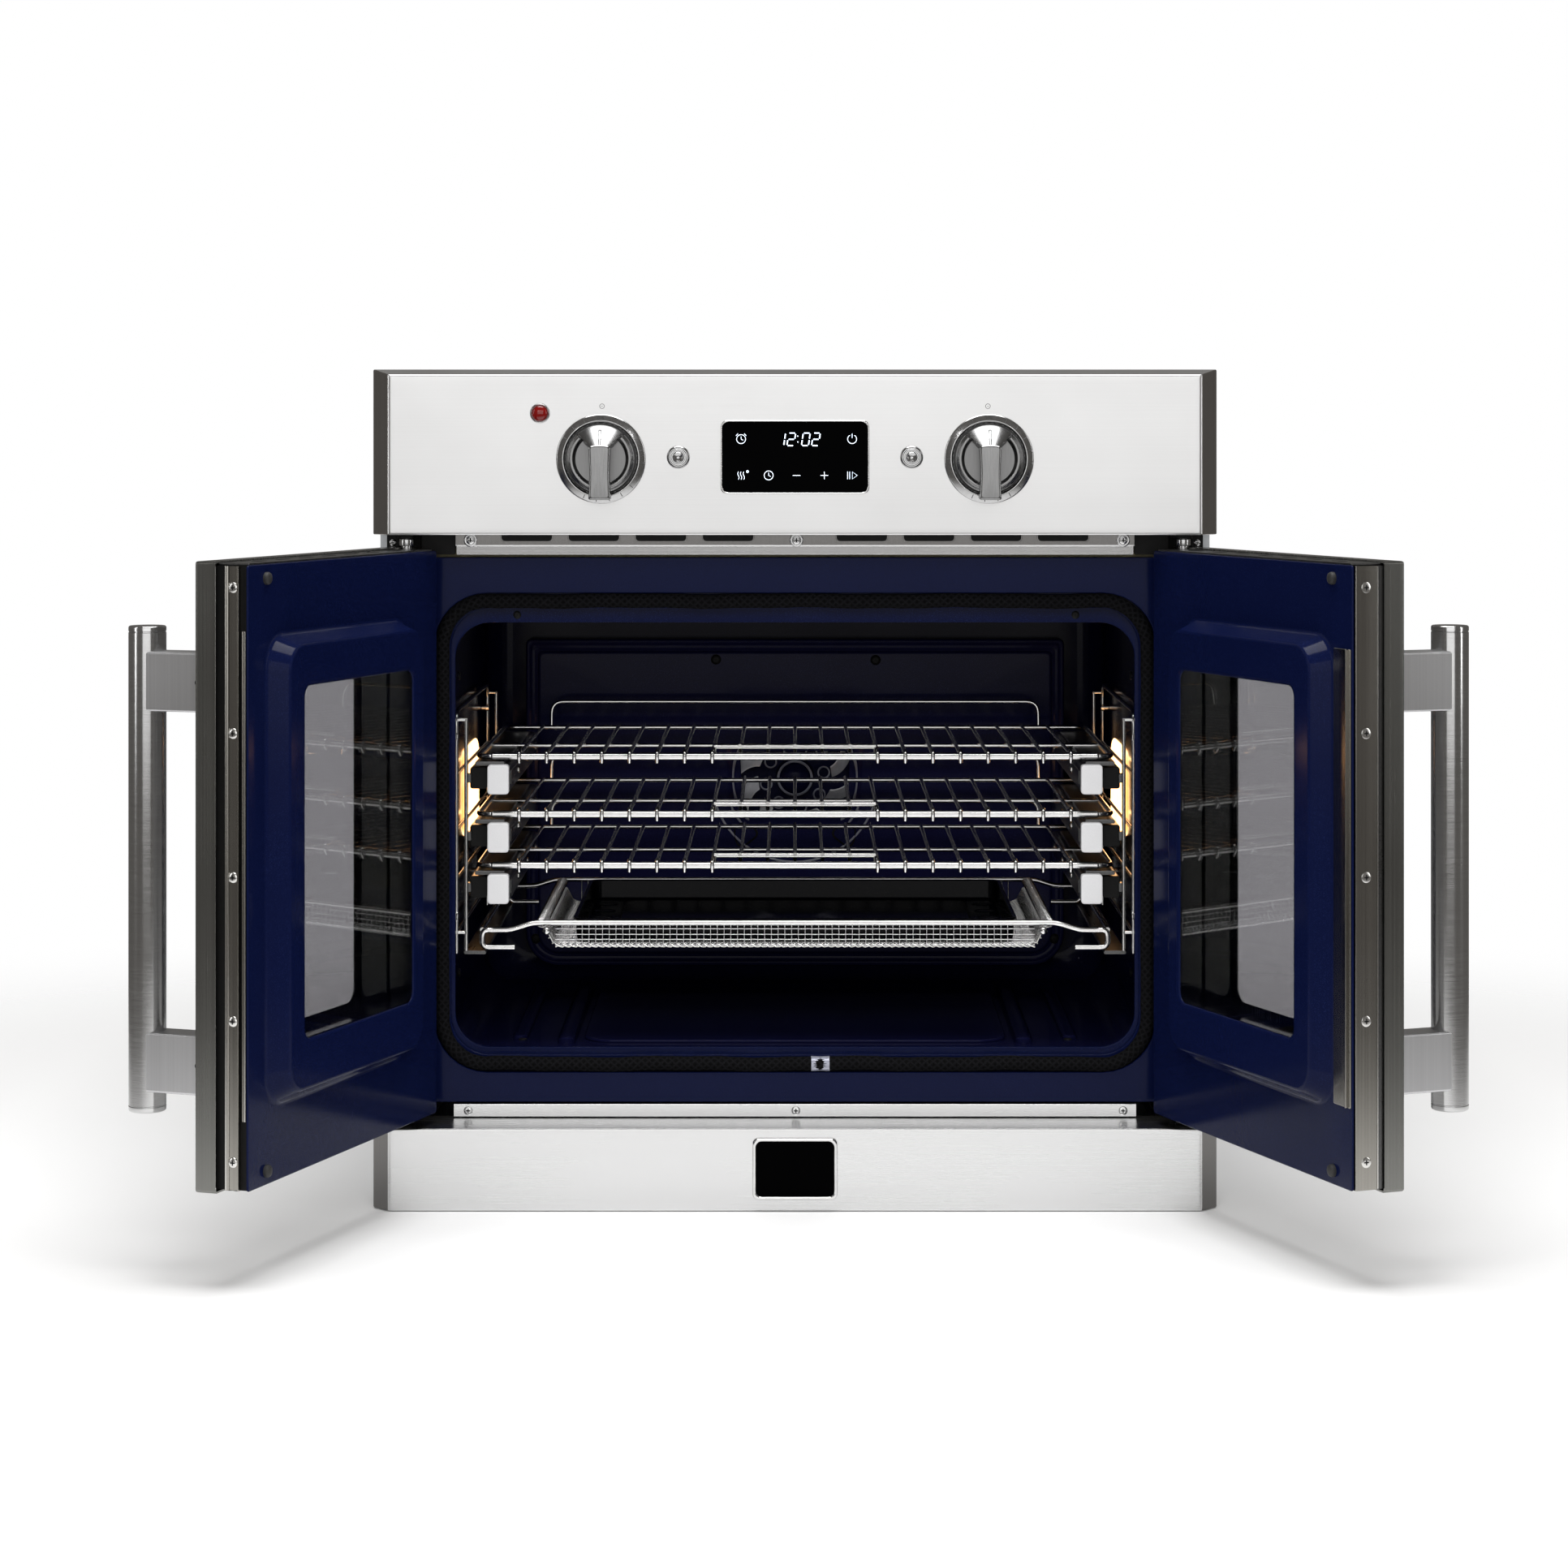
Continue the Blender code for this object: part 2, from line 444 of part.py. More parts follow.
def build_cavity():
    """Face frame with its rope gasket, enamelled liner, insulation and the hinge posts."""
    frame = extrude("face_frame", rectangle((-FRAME_HALF, FRAME_HALF), (FRAME_LOW, FRAME_HIGH), FRAME_CORNER),
                    0.0, FRAME_BACK, "enamel")
    seat = GASKET_RADIUS + FIT
    seat_back = GASKET_Y + seat
    steps = [((GASKET_HALF + seat, GASKET_LOW - seat, GASKET_HIGH + seat, GASKET_CORNER + seat), seat_back),
             ((REBATE_HALF, REBATE_LOW, REBATE_HIGH, REBATE_CORNER), REBATE_BACK),
             ((LIP_HALF, LIP_LOW, LIP_HIGH, LIP_CORNER), FRAME_BACK + CUT)]
    combine(frame, [extrude("step", rectangle((-half, half), (low, high), corner, 6), -CUT, back, "enamel")
                    for (half, low, high, corner), back in steps])

    path = rectangle((-GASKET_HALF, GASKET_HALF), (GASKET_LOW, GASKET_HIGH), GASKET_CORNER, 7)
    tube("door_gasket", level(path, GASKET_Y), GASKET_RADIUS, "rope", closed=True)

    wall = CAVITY_HALF + SHEET
    liner = extrude("cavity_liner", rectangle((-wall, wall), (CAVITY_LOW - SHEET, CAVITY_HIGH + SHEET)),
                    CAVITY_FRONT, CAVITY_BACK + SHEET, "enamel")
    room = extrude("room", rectangle((-CAVITY_HALF, CAVITY_HALF), (CAVITY_LOW, CAVITY_HIGH)),
                   CAVITY_FRONT - CUT, CAVITY_BACK, "enamel")
    shaft_hole = circle(0.0, FAN_Z, SHAFT_HOLE, 16)
    shaft = extrude("shaft", shaft_hole, CAVITY_BACK - CUT, CAVITY_BACK + CUT, "enamel")
    window = extrude("window", rectangle(shrink(LENS_Y, -FIT), shrink(LENS_Z, -FIT), LENS_CORNER),
                     -wall - CUT, wall + CUT, "enamel", "X")
    combine(liner, [room, shaft, window])

    blanket = extrude("insulation_blanket", rectangle((-INSULATION_HALF, INSULATION_HALF),
                                                      (INSULATION_LOW, INSULATION_HIGH), INSULATION_CORNER),
                      CAVITY_FRONT + SHEET, INSULATION_BACK, "wool")
    inner = wall + FIT
    bed = extrude("bed", rectangle((-inner, inner), (CAVITY_LOW - SHEET - FIT, CAVITY_HIGH + SHEET + FIT)),
                  CAVITY_FRONT - CUT, CAVITY_BACK + SHEET + FIT, "wool")
    motor_room = circle(0.0, FAN_Z, MOTOR_HOLE)
    motor_hole = extrude("motor_hole", motor_room, CAVITY_BACK, INSULATION_BACK + CUT, "wool")
    pocket = extrude("pocket", rectangle(shrink(LENS_Y, -GAP), shrink(LENS_Z, -GAP), LENS_CORNER),
                     -LENS_X[1] - GAP, LENS_X[1] + GAP, "wool", "X")
    combine(blanket, [bed, motor_hole, pocket])

    for side, name in ((-1, "left"), (1, "right")):
        def arm(z_low):
            return [(side * (PIN_X - ARM_HALF), PIN_Y - POST_OUT, z_low),
                    (side * (PIN_X + ARM_HALF), POST_Y[1], z_low + ARM_THICK)]

        column = [(side * (PIN_X - POST_IN), POST_Y[0], POST_LOW),
                  (side * (PIN_X + POST_OUT), POST_Y[1], POST_HIGH)]
        boxes = [column, arm(POST_HIGH - ARM_THICK), arm(POST_LOW)]
        post = box_frame(f"hinge_post_{name}", boxes, "stainless")
        outline = circle(side * PIN_X, PIN_Y, PIN_RADIUS, 16)
        pins = [extrude("pin", outline, DOOR_HIGH - PIN_ENGAGED, POST_HIGH - SHEET, "stainless", "Z"),
                extrude("pin", outline, POST_LOW + SHEET, DOOR_LOW + PIN_ENGAGED, "stainless", "Z")]
        combine(post, pins, "UNION")


def paddle_outline(a, b, hub, tip, blades, half):
    """The outline of a hub with straight radial blades."""
    points = []
    root = math.asin(half / hub)
    end = math.asin(half / tip)
    for k in range(blades):
        turn = 2 * math.pi * k / blades
        for radius, angle in ((hub, turn - root), (tip, turn - end), (tip, turn + end), (hub, turn + root)):
            points.append((a + radius * math.cos(angle), b + radius * math.sin(angle)))
    return points


def broil_route():
    """The broil heater's path: passes from front to back, joined by cross runs with cut corners."""
    front, back = BROIL_Y
    spacing = 2 * BROIL_HALF / (BROIL_PASSES - 1)
    route = []
    for k in range(BROIL_PASSES):
        x = k * spacing - BROIL_HALF
        start, end = (back, front) if k % 2 == 0 else (front, back)
        bend = math.copysign(BROIL_BEND, end - start)
        route.append((x, start if k == 0 else start + bend, BROIL_Z))
        route.append((x, end - bend, BROIL_Z))
        if k < BROIL_PASSES - 1:
            route.append((x + BROIL_BEND, end, BROIL_Z))
            route.append((x + spacing - BROIL_BEND, end, BROIL_Z))
    return route


def build_heating():
    """Convection baffle, fan, ring heater, broil heater, lamps and the cooling blower."""
    half, (low, high) = BAFFLE_HALF, BAFFLE_Z
    baffle = extrude("convection_baffle", rectangle((-half, half), (low, high), BAFFLE_CORNER, 5),
                     BAFFLE_Y, CAVITY_BACK - FIT, "enamel")
    room = extrude("room", rectangle((-half + SHEET, half - SHEET), (low + SHEET, high - SHEET),
                                     BAFFLE_CORNER - SHEET, 5), BAFFLE_Y + SHEET, CAVITY_BACK + CUT, "enamel")
    intake = extrude("intake", circle(0.0, FAN_Z, FAN_INTAKE, 32), BAFFLE_Y - CUT, BAFFLE_Y + CUT, "enamel")
    combine(baffle, [room, intake])

    wheel = extrude("fan_wheel", paddle_outline(0.0, FAN_Z, FAN_HUB, FAN_RADIUS, FAN_BLADES, BLADE_HALF),
                    FAN_Y[0], FAN_Y[1], "chrome")
    pivot(wheel, (0.0, FAN_Y[0], FAN_Z))
    motor = extrude("fan_motor", circle(0.0, FAN_Z, MOTOR_RADIUS), *MOTOR_Y, "galvanised")
    shaft_outline = circle(0.0, FAN_Z, SHAFT_RADIUS, 12)
    shaft = extrude("shaft", shaft_outline, FAN_Y[1] + FIT, MOTOR_Y[0] + CUT, "galvanised")
    combine(motor, [shaft], "UNION")
    tube("ring_element", level(circle(0.0, FAN_Z, RING_RADIUS, 28), RING_Y), RING_WIRE, "heater", True, 1)
    tube("broil_element", broil_route(), BROIL_RADIUS, "heater", False, 1)
    for side, name in ((-1, "left"), (1, "right")):
        lens = rectangle(LENS_Y, LENS_Z, LENS_CORNER)
        extrude(f"lamp_lens_{name}", lens, side * LENS_X[0], side * LENS_X[1], "lamp", "X")
    build_blower()


def build_blower():
    """Cooling blower on top of the insulation: a sheet box with an outlet duct, and its wheel."""
    low, high = BLOWER_Z
    around_x = (-BLOWER_HALF, BLOWER_HALF)
    around_y = (BLOWER_Y - BLOWER_HALF, BLOWER_Y + BLOWER_HALF)
    duct_x = (-DUCT_HALF, DUCT_HALF)
    duct_z = (low + DUCT_RISE, high - DUCT_DROP)
    plan = rectangle(around_x, around_y, BLOWER_CORNER)
    housing = extrude("blower_housing", plan, low, high, "galvanised", "Z")
    duct = extrude("duct", rectangle(duct_x, duct_z), DUCT_FRONT, BLOWER_Y, "galvanised")
    combine(housing, [duct], "UNION")
    room = extrude("room", rectangle(shrink(around_x, SHEET), shrink(around_y, SHEET), BLOWER_CORNER - SHEET),
                   low + SHEET, high - SHEET, "galvanised", "Z")
    bore = rectangle(shrink(duct_x, SHEET), shrink(duct_z, SHEET))
    outlet = extrude("outlet", bore, DUCT_FRONT - CUT, BLOWER_Y, "galvanised")
    inlet = extrude("inlet", circle(0.0, BLOWER_Y, BLOWER_INLET), high - CUT, high + CUT, "galvanised", "Z")
    combine(housing, [room, outlet, inlet])
    outline = paddle_outline(0.0, BLOWER_Y, BLOWER_HUB, BLOWER_RADIUS, BLOWER_BLADES, BLADE_HALF)
    wheel_low = low + DUCT_RISE / 2
    blower = extrude("blower_wheel", outline, wheel_low, high - DUCT_RISE, "galvanised", "Z")
    pivot(blower, (0.0, BLOWER_Y, wheel_low))


def build_ladders():
    """Wire ladders on the cavity walls, with the fixed rails of the glides welded to them."""
    outer, inner = LADDER_OUTER, LADDER_INNER
    top, bottom = FIXED_RAIL_DROP[1], FIXED_RAIL_DROP[0]
    for side, name in ((-1, "left"), (1, "right")):
        boxes = []

        def bar(x_low, x_high, y_low, y_high, z_low, z_high):
            boxes.append([(side * x_low, y_low, z_low), (side * x_high, y_high, z_high)])

        for y in (LADDER_FRONT, LADDER_REAR):
            bar(outer - WIRE, outer, y, y + WIRE, LADDER_LOW, LADDER_TOP)
            bar(inner, inner + WIRE, y, y + WIRE, LADDER_LOW, LADDER_TOP)
            for z in (LADDER_RUNGS[0], LADDER_RUNGS[-1]):
                bar(inner, outer, y, y + WIRE, z, z + WIRE)
            for z in LADDER_STUDS:
                bar(outer - WIRE, CAVITY_HALF - FIT, y, y + WIRE, z, z + WIRE)
        for z in LADDER_RUNGS:
            bar(outer - WIRE, outer, LADDER_FRONT, LADDER_REAR + WIRE, z, z + WIRE)
        for height in RACK_HEIGHTS.values():
            bar(GLIDE_OUT + GAP, inner - GAP / 2, *FIXED_RAIL_Y, height - bottom, height - top)
            for y_low, y_high in (HOOK_Y, (LADDER_REAR + FIT, LADDER_REAR + WIRE - FIT)):
                bar(inner - HOOK_REACH, inner + WIRE, y_low, y_high,
                    height - HOOK_DROP[0], height - HOOK_DROP[1])
        bar(BASKET_ARM - SHELF_REACH, inner + WIRE, LADDER_FRONT, LADDER_REAR + WIRE, *BASKET_SHELF)
        box_frame(f"rack_ladder_{name}", boxes, "chrome")


def build_racks():
    """Three wire racks, each with the sliding runners of its telescopic glides."""
    half, thick = RACK_HALF, RAIL / 2
    reach = BACKSTOP_HALF + WIRE
    for name, height in RACK_HEIGHTS.items():
        boxes = []

        def bar(x_low, x_high, y_low, y_high, z_low, z_high):
            boxes.append([(x_low, y_low, height + z_low), (x_high, y_high, height + z_high)])

        bar(-half, half, RACK_FRONT, RACK_FRONT + RAIL, -thick, thick)
        bar(-half, half, RACK_REAR - WIRE, RACK_REAR, -thick, 0.0)
        bar(-half, half, RACK_MIDDLE, RACK_MIDDLE + WIRE, -thick, 0.0)
        bar(-reach, reach, RACK_END - WIRE, RACK_END, -WIRE / 2, WIRE / 2)
        for k in range(WIRE_COUNT):
            x = (k - (WIRE_COUNT - 1) / 2) * WIRE_PITCH
            end = RACK_END if abs(x) < reach else RACK_REAR
            bar(x - WIRE / 2, x + WIRE / 2, RACK_FRONT + 2 * FIT, end - 2 * FIT, -WIRE / 2, WIRE / 2)
        bar(-BACKSTOP_HALF, BACKSTOP_HALF, RACK_END - WIRE, RACK_END, BACKSTOP_RISE - WIRE, BACKSTOP_RISE)
        for side in (-1, 1):
            upright = side * (BACKSTOP_HALF - WIRE), side * BACKSTOP_HALF
            bar(*upright, RACK_END - WIRE, RACK_END, 0.0, BACKSTOP_RISE)
            bar(side * (half - WIRE), side * half, RACK_FRONT, RACK_REAR, -thick, 0.0)
            bar(side * GLIDE_IN, side * GLIDE_OUT, *GLIDE_Y, -GLIDE_DROP, -GLIDE_TOP)
            for y in (RACK_FRONT, RACK_REAR - WIRE):
                bar(side * HANGER_X[0], side * HANGER_X[1], y, y + WIRE, -GLIDE_TOP - GAP, -2 * FIT)
        rack = box_frame(f"rack_{name}", boxes, "chrome")
        pivot(rack, (0.0, RACK_FRONT, height))


def build_basket():
    """The air-fry basket that hangs on the lowest rails, with its slotted tray."""
    half, front, back, floor, rim = BASKET_HALF, BASKET_FRONT, BASKET_BACK, BASKET_FLOOR, BASKET_RIM
    skin, rod, side_rod, arm = BASKET_SKIN, BASKET_ROD, BASKET_SIDE_ROD, BASKET_ARM
    lip, edge = rim - side_rod, rim - 2 * FIT
    boxes = [[(-half, front, floor), (half, back, floor + skin)],
             [(-half, front, floor), (half, front + skin, edge)],
             [(-half, back - skin, floor), (half, back, edge)],
             [(-arm, front - rod, lip), (arm, front, rim)],
             [(-arm, back, lip), (arm, back + rod, rim)]]
    for side in (-1, 1):
        out, near = side * arm, side * (arm - side_rod)
        boxes.append([(side * half, front, floor), (side * (half - skin), back, edge)])
        boxes.append([(side * (half - 2 * FIT), front - 2 * FIT, lip),
                      (side * (half + WIRE), back + 2 * FIT, rim)])
        boxes.append([(out, front - rod, lip), (near, back + rod, rim)])
        for y in (front - rod, back):
            boxes.append([(out, y, BASKET_FOOT), (near, y + rod, rim)])
    basket = box_frame("air_fry_basket", boxes, "chrome")
    pivot(basket, (0.0, front, rim))

    def rim_loop(z, inset):
        outline = rectangle((-TRAY_HALF + inset, TRAY_HALF - inset), (TRAY_FRONT + inset, TRAY_BACK - inset),
                            TRAY_CORNER)
        return [(x, y, z) for x, y in outline]

    rows = [rim_loop(TRAY_FLOOR, TRAY_TAPER), rim_loop(TRAY_RIM, 0.0), rim_loop(TRAY_RIM, SHEET),
            rim_loop(TRAY_FLOOR + SHEET, TRAY_TAPER + SHEET)]
    tray = stack("crisping_tray", rows, "enamel", False)
    pivot(tray, (0.0, TRAY_FRONT, TRAY_RIM))


def build_door(name, side):
    """One door, built shut and turned open about its pin: side is -1 at the left, 1 at the right."""
    def across(u):
        return side * (PIN_X - u)

    def loop(u, z, corner, y):
        return [(across(a), y, b) for a, b in rectangle(u, z, corner)]

    def slab(part, u, y, z, look):
        return box_frame(part, [[(across(u[0]), y[0], z[0]), (across(u[1]), y[1], z[1])]], look)

    tall = (DOOR_LOW, DOOR_HIGH)
    wide_window = shrink(WINDOW_U, -DOOR_INSET), shrink(WINDOW_Z, -DOOR_INSET)
    wide_corner = WINDOW_CORNER + DOOR_INSET
    skin_inside = shrink(SKIN_U, SHEET), shrink(tall, SHEET)
    skin = stack(f"door_skin_{name}", [
        loop(SKIN_U, tall, DOOR_CORNER, SKIN_Y),
        loop(*wide_window, wide_corner, SKIN_Y),
        loop(*wide_window, wide_corner, SKIN_Y + SHEET),
        loop(*skin_inside, SHEET, SKIN_Y + SHEET),
        loop(*skin_inside, SHEET, SKIN_RETURN_Y),
        loop(SKIN_U, tall, DOOR_CORNER, SKIN_RETURN_Y)], "stainless", True)

    inside = shrink(tall, DOOR_INSET)
    face_y = INNER_Y + PLUG_DEPTH
    inner_face = shrink(PLUG_FACE_U, SHEET), shrink(PLUG_FACE_Z, SHEET), PLUG_FACE_CORNER - SHEET
    inner_base = shrink(PLUG_BASE_U, SHEET), shrink(PLUG_BASE_Z, SHEET), PLUG_BASE_CORNER - SHEET
    panel = stack(f"door_panel_{name}", [
        loop(INNER_U, inside, DOOR_CORNER, INNER_Y),
        loop(PLUG_BASE_U, PLUG_BASE_Z, PLUG_BASE_CORNER, INNER_Y),
        loop(PLUG_FACE_U, PLUG_FACE_Z, PLUG_FACE_CORNER, face_y),
        loop(WINDOW_U, WINDOW_Z, WINDOW_CORNER, face_y),
        loop(WINDOW_U, WINDOW_Z, WINDOW_CORNER, face_y - SHEET),
        loop(*inner_face, face_y - SHEET),
        loop(*inner_base, INNER_Y - SHEET),
        loop(INNER_U, inside, DOOR_CORNER, INNER_Y - SHEET)], "enamel", True)
    if name == "right":
        notch = slab("notch", (ASTRAGAL_U[0] - FIT, INNER_U[1] + CUT), (INNER_Y - CUT, INNER_Y + CUT),
                     shrink(ASTRAGAL_Z, -FIT), "enamel")
        combine(panel, [notch])

    core_y = (SKIN_Y + SHEET + FIT, INNER_Y - SHEET - FIT)
    core_z = shrink(inside, FIT)
    walls = [((CORE_U[0], TUNNEL_U[0]), core_z), ((TUNNEL_U[1], CORE_U[1]), core_z),
             (CORE_U, (core_z[0], TUNNEL_Z[0])), (CORE_U, (TUNNEL_Z[1], core_z[1]))]
    core = box_frame(f"door_core_{name}", [[(across(u[0]), core_y[0], z[0]), (across(u[1]), core_y[1], z[1])]
                                           for u, z in walls], "black")
    outline = circle(side * PIN_X, PIN_Y, PIN_RADIUS + FIT, 16)
    socket = PIN_ENGAGED + GAP
    combine(core, [extrude("hole", outline, DOOR_HIGH - socket, DOOR_HIGH, "black", "Z"),
                   extrude("hole", outline, DOOR_LOW, DOOR_LOW + socket, "black", "Z")])

    pane_u, pane_z = shrink(TUNNEL_U, FIT), shrink(TUNNEL_Z, FIT)
    outer = slab(f"outer_glass_{name}", pane_u, (core_y[0], core_y[0] + GLASS), pane_z, "glass")
    inner_front = face_y - SHEET - FIT
    inner = slab(f"inner_glass_{name}", pane_u, (inner_front - GLASS, inner_front), pane_z, "glass")
    channel_u = (CORE_U[1] + FIT, SKIN_U[1] - 2 * FIT)
    channel = slab(f"edge_channel_{name}", channel_u, CHANNEL_Y, core_z, "stainless")

    axis_y = SKIN_Y - HANDLE_REACH
    axis_x = across(HANDLE_U)
    handle = extrude(f"handle_{name}", circle(axis_x, axis_y, HANDLE_RADIUS, 24), *HANDLE_Z, "stainless", "Z")
    posts = [extrude("post", rectangle((axis_x - POST_HALF_U, axis_x + POST_HALF_U),
                                       (z - POST_HALF_Z, z + POST_HALF_Z), DOOR_CORNER),
                     axis_y, SKIN_Y - FIT, "stainless") for z in POST_Z]
    combine(handle, posts, "UNION")

    pieces = [skin, panel, core, outer, inner, channel, handle]
    if name == "right":
        (u_low, u_high), (z_low, z_high) = ASTRAGAL_U, ASTRAGAL_Z
        lip = u_high - ASTRAGAL_LIP
        fold = [[(across(u_low), INNER_Y - SHEET, z_low), (across(u_high), INNER_Y, z_high)],
                [(across(lip), INNER_Y - SHEET, z_low), (across(lip + GAP), INNER_Y + GAP + FIT, z_high)]]
        pieces.append(box_frame("astragal", fold, "stainless"))

    hinge = bpy.data.objects.new(f"hinge_axis_{name}", None)
    bpy.context.scene.collection.objects.link(hinge)
    hinge.location = (side * PIN_X, PIN_Y, 0.0)
    hinge.rotation_euler.z = side * math.radians(OPEN_DEGREES[name])
    for piece in pieces:
        piece.data.transform(Matrix.Translation(-hinge.location))
        piece.parent = hinge


def build_oven():
    """Make every part of the oven, and shade the round ones smooth."""
    for old in list(bpy.data.objects):
        bpy.data.objects.remove(old)
    build_case()
    build_front()
    build_controls()
    build_cavity()
    build_heating()
    build_ladders()
    build_racks()
    build_basket()
    build_door("left", -1)
    build_door("right", 1)
    for part in bpy.data.objects:
        if part.type == "MESH":
            part.data.shade_smooth()
            part.data.set_sharp_from_angle(angle=math.radians(30))


build_oven()
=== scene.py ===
# %% [markdown]
# # A built-in wall oven with French doors
# Every finished piece here is modelled around the CAD frame: each takes the place of a CAD node, or adds a
# small part to one, and rides on that node's body. Units are metres, +Z is up, the front faces -Y.

# %% Tools
import json
import math

import bpy
import numpy as np
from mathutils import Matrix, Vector


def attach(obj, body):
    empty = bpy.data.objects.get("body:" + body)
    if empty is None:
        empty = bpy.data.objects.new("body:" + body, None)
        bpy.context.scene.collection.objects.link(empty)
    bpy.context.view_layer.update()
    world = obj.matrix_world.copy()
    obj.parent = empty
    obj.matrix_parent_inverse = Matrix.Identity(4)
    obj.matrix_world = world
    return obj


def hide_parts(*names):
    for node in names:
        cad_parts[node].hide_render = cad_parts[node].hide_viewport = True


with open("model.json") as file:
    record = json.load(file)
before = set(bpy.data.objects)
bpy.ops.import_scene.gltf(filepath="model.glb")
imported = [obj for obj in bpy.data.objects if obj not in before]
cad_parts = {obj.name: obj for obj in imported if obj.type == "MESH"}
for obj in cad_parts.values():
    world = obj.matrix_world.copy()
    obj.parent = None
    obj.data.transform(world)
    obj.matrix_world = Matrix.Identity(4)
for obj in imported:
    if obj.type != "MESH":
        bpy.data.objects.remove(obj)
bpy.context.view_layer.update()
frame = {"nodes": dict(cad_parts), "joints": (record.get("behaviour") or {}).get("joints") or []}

# %% [markdown]
# ## Small shape builders
# A part is a dictionary: its points, its faces, the place of each face corner on the unrolled surface in
# metres, and which of its piece's finishes it wears, as a number or a rule on face centres. All parts are closed
# skins made of whole numpy grids, so a shape is a formula over rows and columns, not vertex by vertex. Normals
# are weighted by face area, so that a broad flat stays flat right up to its rounded edge.

# %% Shape builders


def skin(points, finish=0, ring=False):
    """A closed skin over a (rows, columns, 3) grid whose columns go round.

    Corner (row i, column j) joins its neighbours with four-sided faces. The end rows get a fan to their mean
    point, or with ring the last row joins the first.
    """
    rows, columns = points.shape[:2]
    index = np.arange(rows * columns).reshape(rows, columns)
    around = np.concatenate([[0.0], np.cumsum(np.linalg.norm(
        np.roll(points, -1, axis=1) - points, axis=2).mean(axis=0))])
    steps = np.linalg.norm(np.diff(np.concatenate([points, points[:1]]), axis=0), axis=2).mean(axis=1)
    along = np.concatenate([[0.0], np.cumsum(steps)])
    if ring:
        index = np.vstack([index, index[:1]])
    index = np.hstack([index, index[:, :1]])
    place = np.stack(np.meshgrid(around, along[:len(index)]), axis=-1)

    def corners(grid):
        return np.stack([grid[:-1, :-1], grid[:-1, 1:], grid[1:, 1:], grid[1:, :-1]], axis=2)

    vertices = points.reshape(-1, 3)
    faces = [corners(index).reshape(-1, 4)]
    places = [corners(place).reshape(-1, 2)]
    if not ring:
        vertices = np.vstack([vertices, points[0].mean(axis=0), points[-1].mean(axis=0)])
        for row, middle, turn in ((0, len(vertices) - 2, -1), (-1, len(vertices) - 1, 1)):
            edge = index[row]
            pair = (edge[:-1], edge[1:])[::turn]
            fan = np.stack([*pair, np.full(columns, middle)], axis=1)
            faces.append(fan)
            flat = vertices[fan] - vertices[middle]
            wide = np.argsort(np.ptp(points[row], axis=0))[1:]
            places.append(flat[..., wide].reshape(-1, 2))
    return {"points": vertices, "faces": faces, "places": places, "finish": finish}


def rectangle(a, b, radius=0.0005, steps=4):
    """A rectangle's outline over the spans a and b, its corners quarter circles."""
    radius = max(min(radius, (a[1] - a[0]) / 2.001, (b[1] - b[0]) / 2.001), 0.0001)
    turn = np.linspace(0.0, math.pi / 2, steps + 1)
    turns = np.concatenate([turn + quarter * math.pi / 2 for quarter in range(4)])
    side = np.repeat([[1, 1], [-1, 1], [-1, -1], [1, -1]], steps + 1, axis=0)
    middle = np.array([(a[0] + a[1]) / 2, (b[0] + b[1]) / 2])
    half = np.array([(a[1] - a[0]) / 2, (b[1] - b[0]) / 2]) - radius
    return middle + side * half + radius * np.stack([np.cos(turns), np.sin(turns)], axis=1)


def circle(a, b, radius, sides=40):
    """A circle's outline."""
    turn = np.arange(sides) * 2 * math.pi / sides
    return np.stack([a + radius * np.cos(turn), b + radius * np.sin(turn)], axis=1)


def lay(outline, along, axis="Y"):
    """An outline's points at one place along an axis."""
    column = np.full(len(outline), along)
    order = {"X": (column, outline[:, 0], outline[:, 1]), "Y": (outline[:, 0], column, outline[:, 1]),
             "Z": (outline[:, 0], outline[:, 1], column)}[axis]
    return np.stack(order, axis=1)


def loft(rows, axis="Y", finish=0, ring=False):
    """A skin over (outline, place along the axis) rows that all have the same number of points."""
    return skin(np.stack([lay(outline, along, axis) for outline, along in rows]), finish, ring)


def pillow(a, b, c, axis="Y", radius=0.001, edge=0.0004, finish=0, steps=4):
    """A block over the spans a and b, from c[0] to c[1] along the axis, with its edges rounded.

    Near either end the outline draws in by edge * (1 - sin t) while the place moves by edge * (1 - cos t).
    """
    turn = np.linspace(0.0, math.pi / 2, 4)
    draw, move = edge * (1 - np.sin(turn)), edge * (1 - np.cos(turn))
    rows = [(rectangle((a[0] + d, a[1] - d), (b[0] + d, b[1] - d), radius, steps), at) for d, at in zip(
        np.concatenate([draw, draw[::-1]]), np.concatenate([c[0] + move, (c[1] - move)[::-1]]))]
    return loft(rows, axis, finish)


def turned(profile, middle, axis="Y", sides=40, finish=0):
    """A lathe-turned solid: profile rows are (radius, place along the axis), middle the other two values."""
    return loft([(circle(*middle, max(radius, 0.00005), sides), along) for radius, along in profile], axis, finish)


